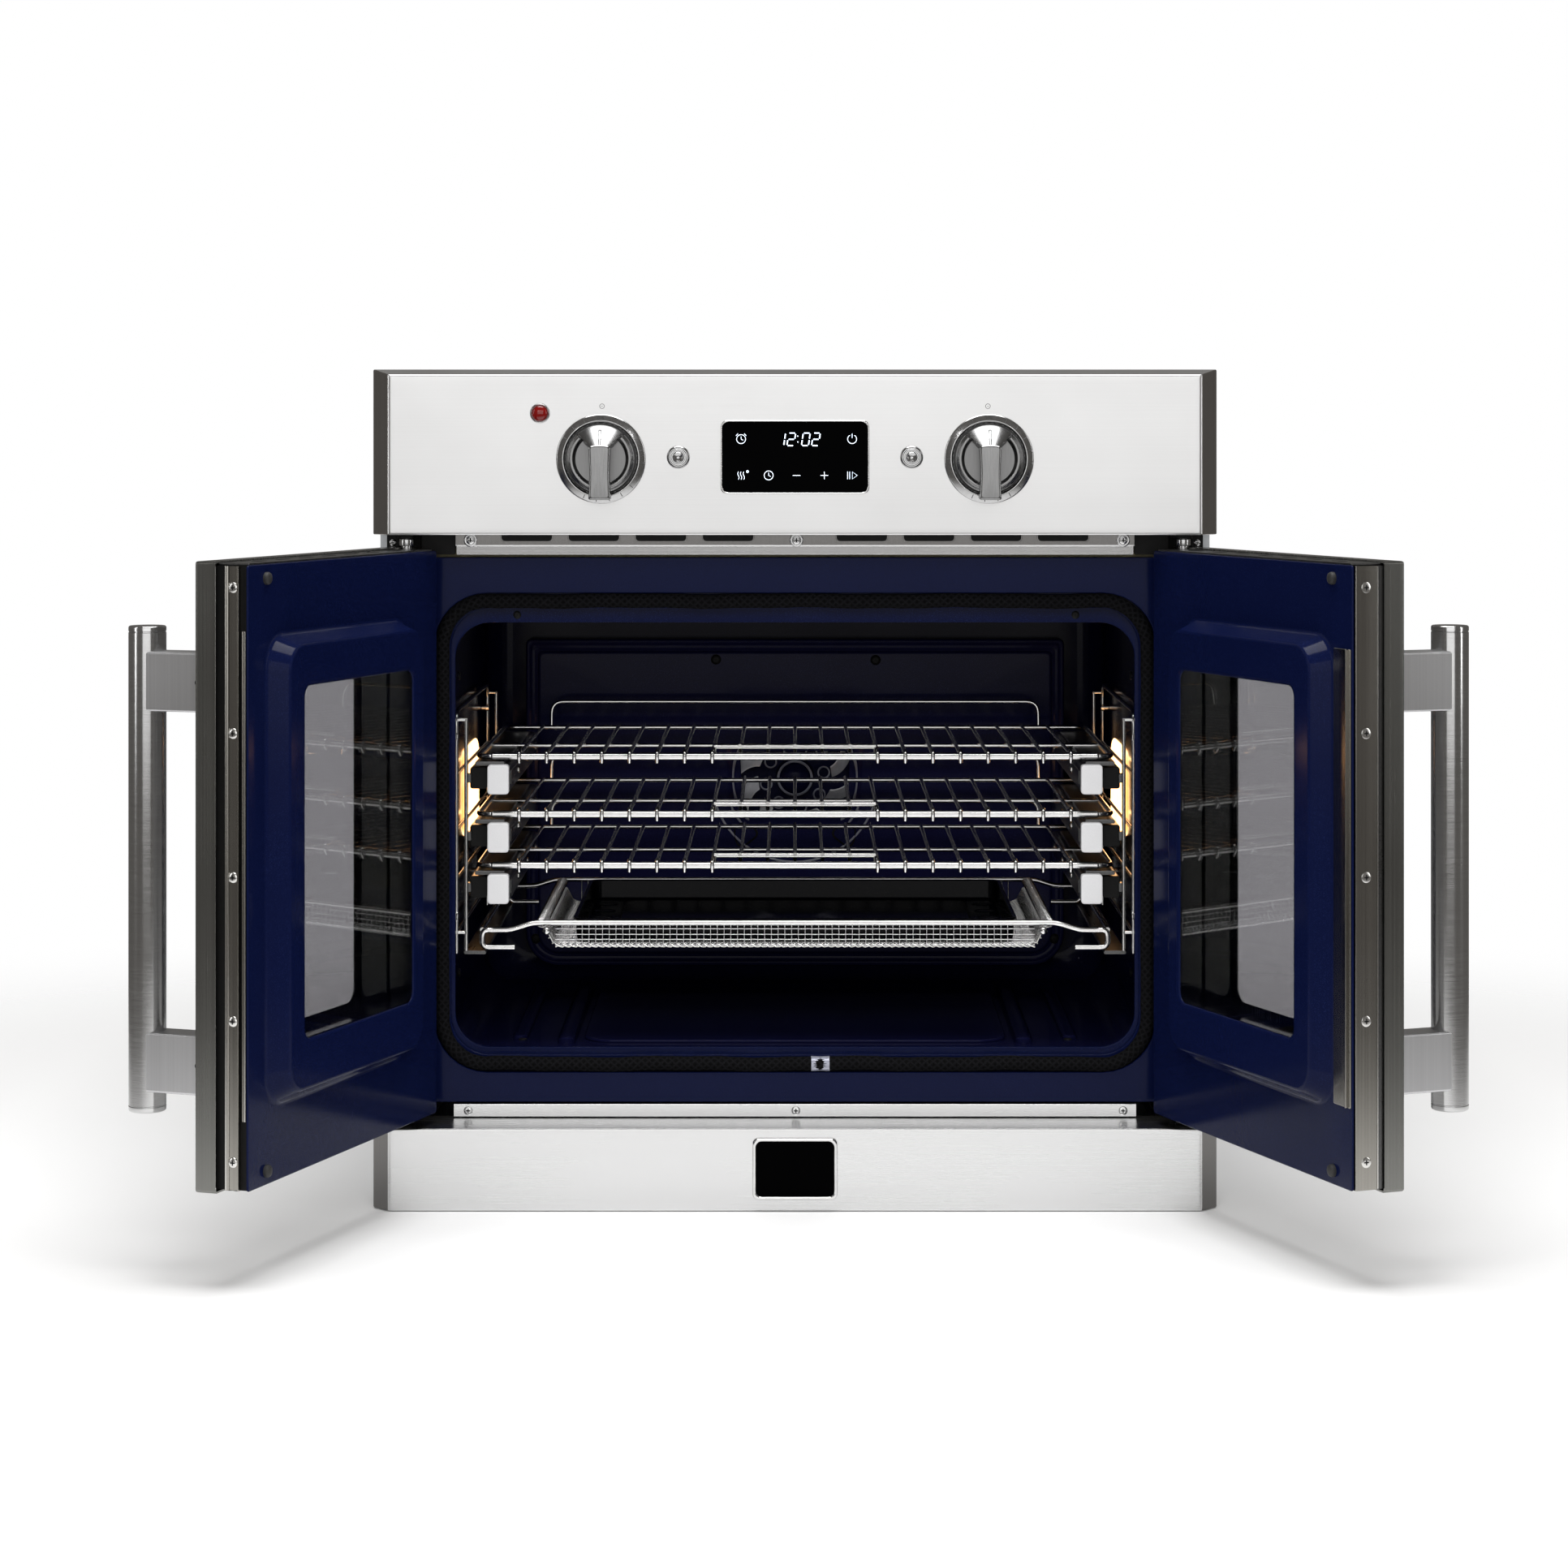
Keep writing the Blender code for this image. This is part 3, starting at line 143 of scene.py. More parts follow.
def rod(path, radius, plane=(0, 0, 1), sides=8, closed=False, finish=0):
    """A round bar along a path that lies near a plane with the given normal.

    Each cross-section is p + radius * (cos t * n + sin t * m), n = plane x direction and m = direction x n.
    """
    path = np.asarray(path, float)
    if closed:
        direction = np.roll(path, -1, axis=0) - np.roll(path, 1, axis=0)
    else:
        direction = np.gradient(path, axis=0)
    direction /= np.linalg.norm(direction, axis=1, keepdims=True)
    across = np.cross(plane, direction)
    across /= np.linalg.norm(across, axis=1, keepdims=True)
    over = np.cross(direction, across)
    turn = (np.arange(sides) + 0.5) * 2 * math.pi / sides
    thick = np.broadcast_to(radius, len(path))[:, None, None]
    circle_points = np.cos(turn)[None, :, None] * across[:, None] + np.sin(turn)[None, :, None] * over[:, None]
    return skin(path[:, None] + thick * circle_points, finish, closed)


def bent(points, radius, steps=4):
    """A path with its corners rounded: near corner p it follows (1-t)^2 a + 2t(1-t) p + t^2 b."""
    points = np.asarray(points, float)
    t = np.linspace(0.0, 1.0, steps + 1)[:, None]
    made = [points[:1]]
    for before, corner, after in zip(points[:-2], points[1:-1], points[2:]):
        a = corner + (before - corner) * min(radius / np.linalg.norm(before - corner), 0.5)
        b = corner + (after - corner) * min(radius / np.linalg.norm(after - corner), 0.5)
        made.append((1 - t) ** 2 * a + 2 * t * (1 - t) * corner + t ** 2 * b)
    return np.concatenate([*made, points[-1:]])


SIDES = ((-1, "left"), (1, "right"))


def flipped(part):
    """The mirror image of a part across the middle plane x = 0."""
    return {**part, "points": part["points"] * (-1, 1, 1)}


def both(parts):
    """Parts and their mirror images."""
    return [*parts, *(flipped(part) for part in parts)]


def screw(x, z, y, radius=0.0042, head=0.0018, finish=0, dark=1, axis="Y", sign=-1):
    """A pan-head screw facing along sign * axis from the place y; its cross recess is a dark cross, painted shade."""
    dome = [(radius, y), (radius, y + sign * head * 0.35), (radius * 0.85, y + sign * head * 0.8),
            (radius * 0.5, y + sign * head), (radius * 0.2, y + sign * head)]
    # The recess is a dark block standing just proud of the head: painted shade.
    cross = [pillow(*spans, (y, y + sign * (head + 0.0001))[::sign], axis, 0.0003, 0.0001, dark, 1) for spans in (
        ((x - radius * 0.5, x + radius * 0.5), (z - radius * 0.13, z + radius * 0.13)),
        ((x - radius * 0.13, x + radius * 0.13), (z - radius * 0.5, z + radius * 0.5)))]
    return [turned(dome, (x, z), axis, 20, finish), *cross]


def outward(part):
    """A part's faces, wound so that the volume they enclose is positive."""
    volume = 0.0
    for faces in part["faces"]:
        corner = part["points"][faces]
        for k in range(1, faces.shape[1] - 1):
            volume += np.einsum("ij,ij->i", corner[:, 0], np.cross(corner[:, k], corner[:, k + 1])).sum()
    if volume >= 0:
        return part["faces"], part["places"]
    turned_faces = [faces[:, ::-1] for faces in part["faces"]]
    turned_places = [place.reshape(*faces.shape, 2)[:, ::-1].reshape(-1, 2)
                     for faces, place in zip(part["faces"], part["places"])]
    return turned_faces, turned_places


def piece(name, body, slot, parts, finishes, stands_for=(), smooth=50):
    """Parts joined into one object, in its finishes, riding on a body and standing for CAD nodes."""
    points, faces, places, looks, start = [], [], [], [], 0
    for part in parts:
        part_faces, part_places = outward(part)
        drawn = part.get("drawn", part["points"])
        points.append(part["points"])
        for group, place in zip(part_faces, part_places):
            faces += (group + start).tolist()
            places.append(place)
            wears = part["finish"]
            looks.append(wears(drawn[group].mean(axis=1)) if callable(wears) else np.full(len(group), wears))
        start += len(part["points"])
    mesh = bpy.data.meshes.new(name)
    mesh.from_pydata(np.concatenate(points).tolist(), [], faces)
    mesh.uv_layers.new(name="unrolled").data.foreach_set("uv", np.concatenate(places).astype(np.float32).ravel())
    for look in finishes:
        mesh.materials.append(look)
    mesh.polygons.foreach_set("material_index", np.concatenate(looks).astype(np.int32))
    mesh.shade_smooth()
    mesh.set_sharp_from_angle(angle=math.radians(smooth))
    made = bpy.data.objects.new(name, mesh)
    bpy.context.scene.collection.objects.link(made)
    made.modifiers.new("flat_faces_stay_flat", "WEIGHTED_NORMAL").keep_sharp = True
    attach(made, body)
    if stands_for:
        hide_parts(*stands_for)
    print(f"{name}: {len(mesh.vertices)} points, {len(mesh.polygons)} faces")
    return made


def fixed(name, parts, finishes, stands_for=(), slot="stainless_steel", **options):
    """A piece that stays with the chassis."""
    return piece(name, "chassis", slot, parts, finishes, stands_for, **options)


# %% [markdown]
# ## Surface effects
# On the real oven three treatments matter most: steel ground with fine parallel scratches, dark enamel fired
# with a faint speckle, and bright plated wire. Each is a node group, so one effect serves many finishes with
# its own numbers. The scratches are noise stretched along one axis of the object.

# %% Node helpers


def node(tree, kind, inputs=(), **settings):
    """A shader node with its settings, its inputs given as values or as sockets to link."""
    made = tree.nodes.new(kind)
    for key, value in settings.items():
        setattr(made, key, value)
    for key, value in dict(inputs).items():
        if isinstance(value, bpy.types.NodeSocket):
            tree.links.new(value, made.inputs[key])
        else:
            made.inputs[key].default_value = value
    return made


def effect(name, inputs, outputs):
    """A node group with named inputs (their defaults) and outputs, and its two end nodes."""
    tree = bpy.data.node_groups.new(name, "ShaderNodeTree")
    kinds = {float: "NodeSocketFloat", tuple: "NodeSocketVector", list: "NodeSocketColor"}
    for label, value in inputs.items():
        socket = tree.interface.new_socket(label, in_out="INPUT", socket_type=kinds[type(value)])
        socket.default_value = (*value, 1.0) if type(value) is list else value
    for label in outputs:
        kind = {"Base Color": "NodeSocketColor", "Emission Color": "NodeSocketColor", "Normal": "NodeSocketVector"}
        tree.interface.new_socket(label, in_out="OUTPUT", socket_type=kind.get(label, "NodeSocketFloat"))
    source, sink = tree.nodes.new("NodeGroupInput"), tree.nodes.new("NodeGroupOutput")
    return tree, source.outputs, sink.inputs


def blend_colour(tree, factor, first, second):
    """Between two colours by a factor."""
    mixed = node(tree, "ShaderNodeMix", data_type="RGBA")
    for slot, value in ((0, factor), (6, first), (7, second)):
        tree.links.new(value, mixed.inputs[slot])
    return mixed.outputs[2]


def maths(tree, operation, *values):
    """A Math node's result."""
    return node(tree, "ShaderNodeMath", dict(enumerate(values)), operation=operation).outputs[0]


def scaled(tree, value, factor, base):
    """(value - 0.5) * factor + base."""
    return maths(tree, "MULTIPLY_ADD", maths(tree, "SUBTRACT", value, 0.5), factor, base)


def remapped(tree, value, low, high):
    """0 at low, 1 at high."""
    return node(tree, "ShaderNodeMapRange", {"Value": value, "From Min": low, "From Max": high}).outputs[0]


def noise(tree, vector, scale, detail=3.0, rough=0.55):
    """A noise value from 0 to 1."""
    return node(tree, "ShaderNodeTexNoise", {"Vector": vector, "Scale": scale, "Detail": detail,
                                             "Roughness": rough}).outputs["Fac"]


def bumped(tree, height, depth):
    """A normal pushed about by a height, depth in metres."""
    return node(tree, "ShaderNodeBump", {"Height": height, "Distance": depth, "Strength": 1.0}).outputs["Normal"]


def place_of(tree, output="Object"):
    """The place on the object that a pattern follows."""
    return tree.nodes.new("ShaderNodeTexCoord").outputs[output]


def feed(tree, sockets, *values):
    """Links results to a group's outputs, in their order."""
    for value, socket in zip(values, sockets):
        tree.links.new(value, socket)


# %% Effects
SURFACE = ["Base Color", "Roughness", "Normal"]
LIGHT, DARK = [0.6, 0.6, 0.6], [0.5, 0.5, 0.5]

BRUSHED, given, made = effect("brushed_grain", {
    "Light": LIGHT, "Dark": DARK, "Stretch": (3.0, 900.0, 900.0), "Roughness": 0.3, "Spread": 0.1,
    "Depth": 0.00001}, SURFACE)
stretched = node(BRUSHED, "ShaderNodeVectorMath", {0: place_of(BRUSHED), 1: given["Stretch"]}, operation="MULTIPLY")
grain = noise(BRUSHED, stretched.outputs[0], 1.0)
smear = noise(BRUSHED, place_of(BRUSHED), 9.0)
rough = scaled(BRUSHED, grain, given["Spread"], given["Roughness"])
feed(BRUSHED, made, blend_colour(BRUSHED, grain, given["Dark"], given["Light"]),
     scaled(BRUSHED, smear, given["Spread"], rough), bumped(BRUSHED, grain, given["Depth"]))

ENAMEL, given, made = effect("fired_enamel", {
    "Colour": [0.01, 0.01, 0.04], "Speckle": [0.05, 0.06, 0.16], "Amount": 0.5, "Roughness": 0.15,
    "Spread": 0.08, "Depth": 0.00002}, SURFACE)
dots = remapped(ENAMEL, noise(ENAMEL, place_of(ENAMEL), 1900.0, 1.0), 0.6, 0.72)
patchy = maths(ENAMEL, "MULTIPLY", noise(ENAMEL, place_of(ENAMEL), 16.0), given["Amount"])
dots = maths(ENAMEL, "MULTIPLY", dots, patchy)
feed(ENAMEL, made, blend_colour(ENAMEL, dots, given["Colour"], given["Speckle"]),
     scaled(ENAMEL, noise(ENAMEL, place_of(ENAMEL), 14.0), given["Spread"], given["Roughness"]),
     bumped(ENAMEL, noise(ENAMEL, place_of(ENAMEL), 160.0), given["Depth"]))

MOTTLE, given, made = effect("mottle", {
    "Light": LIGHT, "Dark": DARK, "Scale": 60.0, "Roughness": 0.3, "Spread": 0.1, "Depth": 0.00001}, SURFACE)
cloud = noise(MOTTLE, place_of(MOTTLE), given["Scale"], 5.0)
feed(MOTTLE, made, blend_colour(MOTTLE, cloud, given["Dark"], given["Light"]),
     scaled(MOTTLE, cloud, given["Spread"], given["Roughness"]), bumped(MOTTLE, cloud, given["Depth"]))

SPANGLE, given, made = effect("zinc_spangle", {
    "Light": LIGHT, "Dark": [0.4, 0.4, 0.4], "Scale": 90.0, "Roughness": 0.45, "Spread": 0.2}, SURFACE[:2])
flake = node(SPANGLE, "ShaderNodeTexVoronoi", {"Vector": place_of(SPANGLE), "Scale": given["Scale"]})
flake = node(SPANGLE, "ShaderNodeSeparateColor", {0: flake.outputs["Color"]}).outputs[0]
feed(SPANGLE, made, blend_colour(SPANGLE, flake, given["Dark"], given["Light"]),
     scaled(SPANGLE, flake, given["Spread"], given["Roughness"]))

BRAID, given, made = effect("braid", {
    "Light": [0.05, 0.05, 0.05], "Dark": [0.005, 0.005, 0.005], "Turns": 980.0, "Pitch": 900.0,
    "Roughness": 0.9, "Depth": 0.0006}, SURFACE)
unrolled = node(BRAID, "ShaderNodeSeparateXYZ", {0: place_of(BRAID, "UV")}).outputs
around, along = [maths(BRAID, "MULTIPLY", unrolled[k], given[label]) for k, label in enumerate(("Turns", "Pitch"))]
waves = [maths(BRAID, "SINE", maths(BRAID, crossing, around, along)) for crossing in ("ADD", "SUBTRACT")]
fuzz = scaled(BRAID, noise(BRAID, place_of(BRAID), 1800.0, 2.0), 0.9, maths(BRAID, "MAXIMUM", *waves))
clear = remapped(BRAID, fuzz, -0.4, 1.1)
feed(BRAID, made, blend_colour(BRAID, clear, given["Dark"], given["Light"]), given["Roughness"],
     bumped(BRAID, clear, given["Depth"]))

GLOW, given, made = effect("lamp_glow", {
    "Hot": [1.0, 0.75, 0.4], "Warm": [1.0, 0.35, 0.08], "Ribs": 700.0, "Roughness": 0.2},
    ["Emission Color", "Roughness"])
split = node(GLOW, "ShaderNodeSeparateXYZ", {0: place_of(GLOW)}).outputs
ribs = maths(GLOW, "SINE", maths(GLOW, "MULTIPLY", split[1], given["Ribs"]))
uneven = remapped(GLOW, scaled(GLOW, noise(GLOW, place_of(GLOW), 55.0, 2.0), 2.2, ribs), -1.1, 1.3)
feed(GLOW, made, blend_colour(GLOW, uneven, given["Warm"], given["Hot"]), given["Roughness"])
print("effects:", [group.name for group in bpy.data.node_groups])

# %% [markdown]
# ## Finishes
# Each finish is one Principled shader. The numbers that don't vary over the surface are set on the shader's
# own sockets, and the group feeds only what varies.

# %% Finishes


def finish(name, group, effect_values, **shader_values):
    """A material whose group drives what varies, other values going on the shader; a colour may be one grey."""
    made = bpy.data.materials.new(name)
    made.use_nodes = True
    shader = made.node_tree.nodes["Principled BSDF"]
    for key, value in shader_values.items():
        socket = shader.inputs[key.replace("_", " ")]
        socket.default_value = (*value, 1.0) if isinstance(value, tuple) else value
    driven = node(made.node_tree, "ShaderNodeGroup", node_tree=group)
    for key, value in effect_values.items():
        socket = driven.inputs[key]
        if socket.type == "RGBA":
            value = (*np.broadcast_to(value, 3), 1.0)
        socket.default_value = value
    for output in driven.outputs:
        made.node_tree.links.new(output, shader.inputs[output.name])
    return made


def steel(name, light, dark, stretch, roughness, spread=0.08, depth=0.00001):
    """Ground stainless steel; its scratches run along the axis with the small stretch."""
    return finish(name, BRUSHED, {"Light": light, "Dark": dark, "Stretch": stretch, "Roughness": roughness,
                                  "Spread": spread, "Depth": depth}, Metallic=1.0)


def mottled(name, light, dark, scale, roughness, spread=0.08, depth=0.00002, **shader_values):
    """A cast, moulded or fibrous surface with a cloudy variation."""
    return finish(name, MOTTLE, {"Light": light, "Dark": dark, "Scale": scale, "Roughness": roughness,
                                 "Spread": spread, "Depth": depth}, **shader_values)


ALONG_X, ALONG_Z, ALONG_Y = (2.0, 700.0, 1100.0), (700.0, 700.0, 2.0), (700.0, 2.0, 700.0)
PANEL_STEEL = steel("steel_panel", 0.71, 0.66, ALONG_X, 0.3)
TRIM_STEEL = steel("steel_trim", 0.66, 0.61, ALONG_X, 0.26)
# The panel cover's returns: the same sheet as its face, coloured darker as painted shade.
SHADED_RETURN_STEEL = steel("steel_return_painted_shade", (0.42, 0.4, 0.385), (0.34, 0.325, 0.31), ALONG_Z, 0.24)
# A darker copy of the same steel, painted shade: the bottom trim's returns, and the vent strip's upper part in the
# control panel's shadow.
PAINTED_SHADE_STEEL = steel("steel_painted_shade_dark", (0.2, 0.195, 0.19), (0.15, 0.145, 0.14), ALONG_Z, 0.24)
# The door skin's edges, flange and window edge: the door steel coloured darker, painted shade.
SHADED_SIDE_STEEL = steel("steel_side_painted_shade", (0.26, 0.26, 0.245), (0.17, 0.17, 0.16), ALONG_Z, 0.26)
DOOR_STEEL = steel("steel_door", 0.64, 0.58, ALONG_Z, 0.3)
POST_STEEL = steel("steel_post", (0.62, 0.62, 0.63), (0.5, 0.5, 0.51), ALONG_Z, 0.34)
BAR_STEEL = steel("steel_bar", 0.66, 0.46, (60.0, 60.0, 1500.0), 0.16, 0.1)
KNOB_STEEL = steel("steel_knob", 0.28, 0.18, (900.0, 900.0, 60.0), 0.22)
KNOB_FLAT = steel("steel_knob_flat", 0.25, 0.19, (900.0, 900.0, 60.0), 0.32)
TURNED_STEEL = steel("steel_turned", 0.52, 0.38, (500.0, 500.0, 500.0), 0.17, 0.06)
SLIDE_STEEL = steel("steel_slide", 0.16, 0.07, ALONG_Y, 0.3, 0.1)
SCREW_STEEL = mottled("steel_screw", (0.75, 0.74, 0.72), (0.55, 0.54, 0.52), 700.0, 0.22, Metallic=1.0)
CHROME = mottled("bright_wire", (0.76, 0.755, 0.75), (0.6, 0.595, 0.59), 220.0, 0.2, 0.05, Metallic=1.0)
MESH_WIRE = mottled("mesh_wire", 0.85, 0.6, 500.0, 0.22, 0.08, Metallic=1.0)
BLADE = mottled("fan_blade", (0.85, 0.86, 0.9), (0.45, 0.45, 0.5), 90.0, 0.45, 0.1, 0.00004)
# Pale bluish enamel on the baffle's rings and ridges: painted highlights; the gasket sleeve wears it too.
PAINTED_RIM_HIGHLIGHT = mottled("enamel_rim_painted_highlight", (0.42, 0.43, 0.5), (0.2, 0.21, 0.27), 120.0, 0.3, Metallic=0.2)
TUNNEL = mottled("tunnel_lining", (0.06, 0.062, 0.056), (0.045, 0.047, 0.043), 60.0, 0.09, 0.03,
                 0.000002, Metallic=1.0)
EDGE_STEEL = steel("steel_edge", (0.4, 0.385, 0.35), (0.25, 0.24, 0.22), ALONG_Z, 0.2)
# Thin strips along the door edges in pale steel: painted highlights.
PAINTED_EDGE_HIGHLIGHT = steel("steel_edge_painted_highlight", (0.82, 0.81, 0.78), (0.66, 0.65, 0.62), ALONG_Z, 0.18)
ENAMEL_BLUE = finish("enamel_blue", ENAMEL, {
    "Colour": (0.0026, 0.0048, 0.027), "Speckle": (0.014, 0.024, 0.105), "Amount": 1.1, "Roughness": 0.14},
    Specular_IOR_Level=0.07)
ENAMEL_DARK = finish("enamel_dark", ENAMEL, {
    "Colour": (0.0036, 0.004, 0.02), "Speckle": (0.016, 0.02, 0.08), "Amount": 1.2, "Roughness": 0.12},
    Specular_IOR_Level=0.06)
ENAMEL_BACK = finish("enamel_back", ENAMEL, {
    "Colour": (0.0078, 0.0082, 0.04), "Speckle": (0.022, 0.026, 0.105), "Amount": 1.2, "Roughness": 0.12},
    Specular_IOR_Level=0.06)
ENAMEL_TRAY = finish("enamel_tray", ENAMEL, {
    "Colour": (0.001, 0.0012, 0.002), "Speckle": (0.01, 0.01, 0.015), "Roughness": 0.1},
    Specular_IOR_Level=0.07)
ROPE = finish("rope", BRAID, {"Light": (0.0055, 0.0055, 0.0065), "Dark": (0.0012, 0.0012, 0.0014), "Turns": 924.0},
              Specular_IOR_Level=0.1)
CAP_GREY = mottled("cap_grey", (0.7, 0.7, 0.71), (0.62, 0.62, 0.63), 800.0, 0.45, 0.06, 0.00002)
BLACK = mottled("black_part", 0.008, 0.004, 250.0, 0.4, Specular_IOR_Level=0.12)
RUBBER = mottled("rubber", 0.016, 0.008, 300.0, 0.65)
DISPLAY = mottled("display_black", (0.0002, 0.0002, 0.0003), (0.0001, 0.0001, 0.0002), 40.0, 0.06, 0.02,
                  0.000002, Specular_IOR_Level=0.01)
PIXELS = mottled("display_light", (0.8, 0.9, 1.0), (0.7, 0.8, 0.95), 900.0, 0.4,
                 Emission_Color=(0.75, 0.86, 1.0), Emission_Strength=1.1)
RED = mottled("indicator_red", (0.17, 0.003, 0.002), (0.09, 0.002, 0.002), 300.0, 0.08,
              Emission_Color=(0.9, 0.02, 0.01), Emission_Strength=0.02)
LENS = finish("lamp_lens", GLOW, {}, Emission_Strength=4.5, Base_Color=(0.9, 0.75, 0.55))
GLASS = mottled("door_glass", (0.545, 0.54, 0.556), (0.535, 0.53, 0.545), 30.0, 0.01, 0.01, 0.0000005,
                Transmission_Weight=1.0)
ZINC = finish("galvanised", SPANGLE, {"Light": (0.6, 0.62, 0.64), "Dark": (0.5, 0.52, 0.54), "Scale": 150.0,
                                      "Spread": 0.12}, Metallic=1.0)
WOOL = mottled("mineral_wool", (0.74, 0.68, 0.46), (0.52, 0.46, 0.26), 120.0, 0.95, 0.05, 0.0015)
BOARD = mottled("circuit_board", (0.03, 0.19, 0.08), (0.01, 0.1, 0.04), 180.0, 0.45)
HEATER = mottled("heater_sheath", (0.1, 0.09, 0.085), (0.035, 0.033, 0.03), 150.0, 0.5, Metallic=0.5)
INK = mottled("printed_mark", 0.05, 0.02, 900.0, 0.5)
print("finishes:", len(bpy.data.materials))

# %% [markdown]
# ## Casing behind the front
# Behind the trim the oven is plain galvanised sheet and mineral wool. These CAD shapes are already right, so
# they stay and only get their real finish.

# %% Casing keeps its CAD shapes
KEPT = {
    "galvanised_steel": (ZINC, ["side_panel_left", "side_panel_right", "rear_panel", "base_pan", "top_cover",
                                "terminal_box", "fan_motor", "blower_housing", "blower_wheel"]),
    "mineral_wool": (WOOL, ["insulation_blanket"]),
    "black_plastic": (BLACK, ["rotary_switch_left", "rotary_switch_right"]),
    "circuit_board": (BOARD, ["control_board"]),
    "black_frame": (BLACK, ["door_core_left", "door_core_right"]),
}
for slot_name, (look, names) in KEPT.items():
    for name in names:
        kept = frame["nodes"][name]
        kept.data.materials.clear()
        kept.data.materials.append(look)
print("kept:", sum(len(names) for look, names in KEPT.values()), "nodes")

# %% [markdown]
# ## Casing screws and louvres
# The casing is held by cross-recess screws along its edges, and louvres pressed in the back and the top let
# warm air out. Each louvre is a rounded swelling with a thin black plate under its lip, painted shade in the slot, so
# two pillow shapes make it.

# %% Casing screws and louvres
CASE_BACK, CASE_TOP, CASE_SIDE = 0.575, 0.735, 0.362
SCREW_R, SCREW_HEAD = 0.0052, 0.0024
SWELL_HALF, SWELL_HIGH, GAP_HALF, GAP_HIGH, LOUVRE_PITCH = 0.055, 0.0075, 0.052, 0.0026, 0.014


def louvre(x, at, wall, axis, lip):
    """A rounded swelling on a wall, and at its lip a thin black plate: painted shade in the slot."""
    return [pillow((x - SWELL_HALF, x + SWELL_HALF), (at, at + SWELL_HIGH), (wall - 0.001, wall + 0.0035), axis,
                   0.0036, 0.003, 2),
            pillow((x - GAP_HALF, x + GAP_HALF), (at + lip, at + lip + GAP_HIGH), (wall - 0.0005, wall + 0.0004),
                   axis, 0.0012, 0.0002, 1)]


fixings = []
for x in (-0.34, -0.115, 0.115, 0.34):
    for z in (0.018, 0.7195):
        fixings += screw(x, z, CASE_BACK, SCREW_R, SCREW_HEAD, sign=1)
    for y in (0.036, 0.556):
        fixings += screw(x, y, CASE_TOP, SCREW_R, SCREW_HEAD, axis="Z", sign=1)
for z in (0.2, 0.38, 0.56):
    fixings += both(screw(0.34, z, CASE_BACK, SCREW_R, SCREW_HEAD, sign=1))
for z in (0.06, 0.37, 0.69):
    for y in (0.036, 0.3, 0.556):
        fixings += both(screw(y, z, CASE_SIDE, SCREW_R, SCREW_HEAD, axis="X", sign=1))
for axis, wall, first, count, lip in (("Y", CASE_BACK, 0.07, 8, -0.0022), ("Z", CASE_TOP, 0.46, 5, 0.0071)):
    for row in range(count):
        for x in (-0.15, 0.0, 0.15):
            fixings += louvre(x, first + LOUVRE_PITCH * row, wall, axis, lip)
knock_out = [(0.013, 0.6005), (0.013, 0.6009), (0.01, 0.6009), (0.01, 0.6005)]
fixings.append(turned(knock_out, (0.27, 0.66), finish=1))
fixed("casing_fixings", fixings, [SCREW_STEEL, BLACK, ZINC], slot="galvanised_steel")

# %% [markdown]
# ## Folded front covers
# The control panel and the bottom trim are single sheets folded back at the sides: a flat brushed face, a
# sloping return at 45 degrees and a flange. One path in (outward, depth) is swept round the rectangle, with
# its two folds rounded, then the same path comes back one sheet thickness inside.

# %% Control panel and bottom trim
FACE_HALF, TRIM_HALF, FACE_Y, CHAMFER_Y, RETURN_Y = 0.363, 0.3785, -0.055, -0.04, 0.0075
SHEET, FOLD = 0.0015, 0.0022
SLOPE = TRIM_HALF - FACE_HALF


def cover(low, high, rise):
    """A folded cover: the outline grows by s at the sides and by s * rise / slope at the top."""
    outside = bent([(-0.006, 0, FACE_Y), (0, 0, FACE_Y), (SLOPE, 0, CHAMFER_Y), (SLOPE, 0, RETURN_Y)], FOLD)
    inside = bent([(SLOPE - SHEET, 0, RETURN_Y), (SLOPE - SHEET, 0, CHAMFER_Y + 0.0006),
                   (-0.0006, 0, FACE_Y + SHEET), (-0.006, 0, FACE_Y + SHEET)], FOLD)
    rows = []
    for path, thin in ((outside, 0.0), (inside, SHEET)):
        for s, y in path[:, ::2]:
            top = high + (s * rise / SLOPE if s > 0 else s) - thin
            rows.append((rectangle((-FACE_HALF - s, FACE_HALF + s), (low + max(-s, 0.0) + thin, top), 0.0012), y))
    # Faces beyond the flat face, the returns and flanges, take the second finish: a darker copy of the face steel,
    # painted shade.
    return loft(rows, finish=lambda centres: (np.abs(centres[:, 0]) > FACE_HALF + 0.0008).astype(int))


fixed("control_panel_cover", [cover(0.604, 0.747, 0.005)], [PANEL_STEEL, SHADED_RETURN_STEEL], ["control_panel"])
fixed("bottom_trim_cover", [cover(0.0003, 0.0736, 0.0)], [TRIM_STEEL, PAINTED_SHADE_STEEL], ["bottom_trim"])

# %% [markdown]
# ## Display
# A black glass pane in a thin bright rim. Its clock and touch marks are fine light lines under the glass, so
# they are drawn as thin bars half sunk in the pane: seven-bar digits that lean over, and plain generic signs.

# %% Display
DISPLAY_HALF_W, DISPLAY_HALF_H, DISPLAY_Z, GLASS_Y = 0.0652, 0.0319, 0.6736, -0.0566


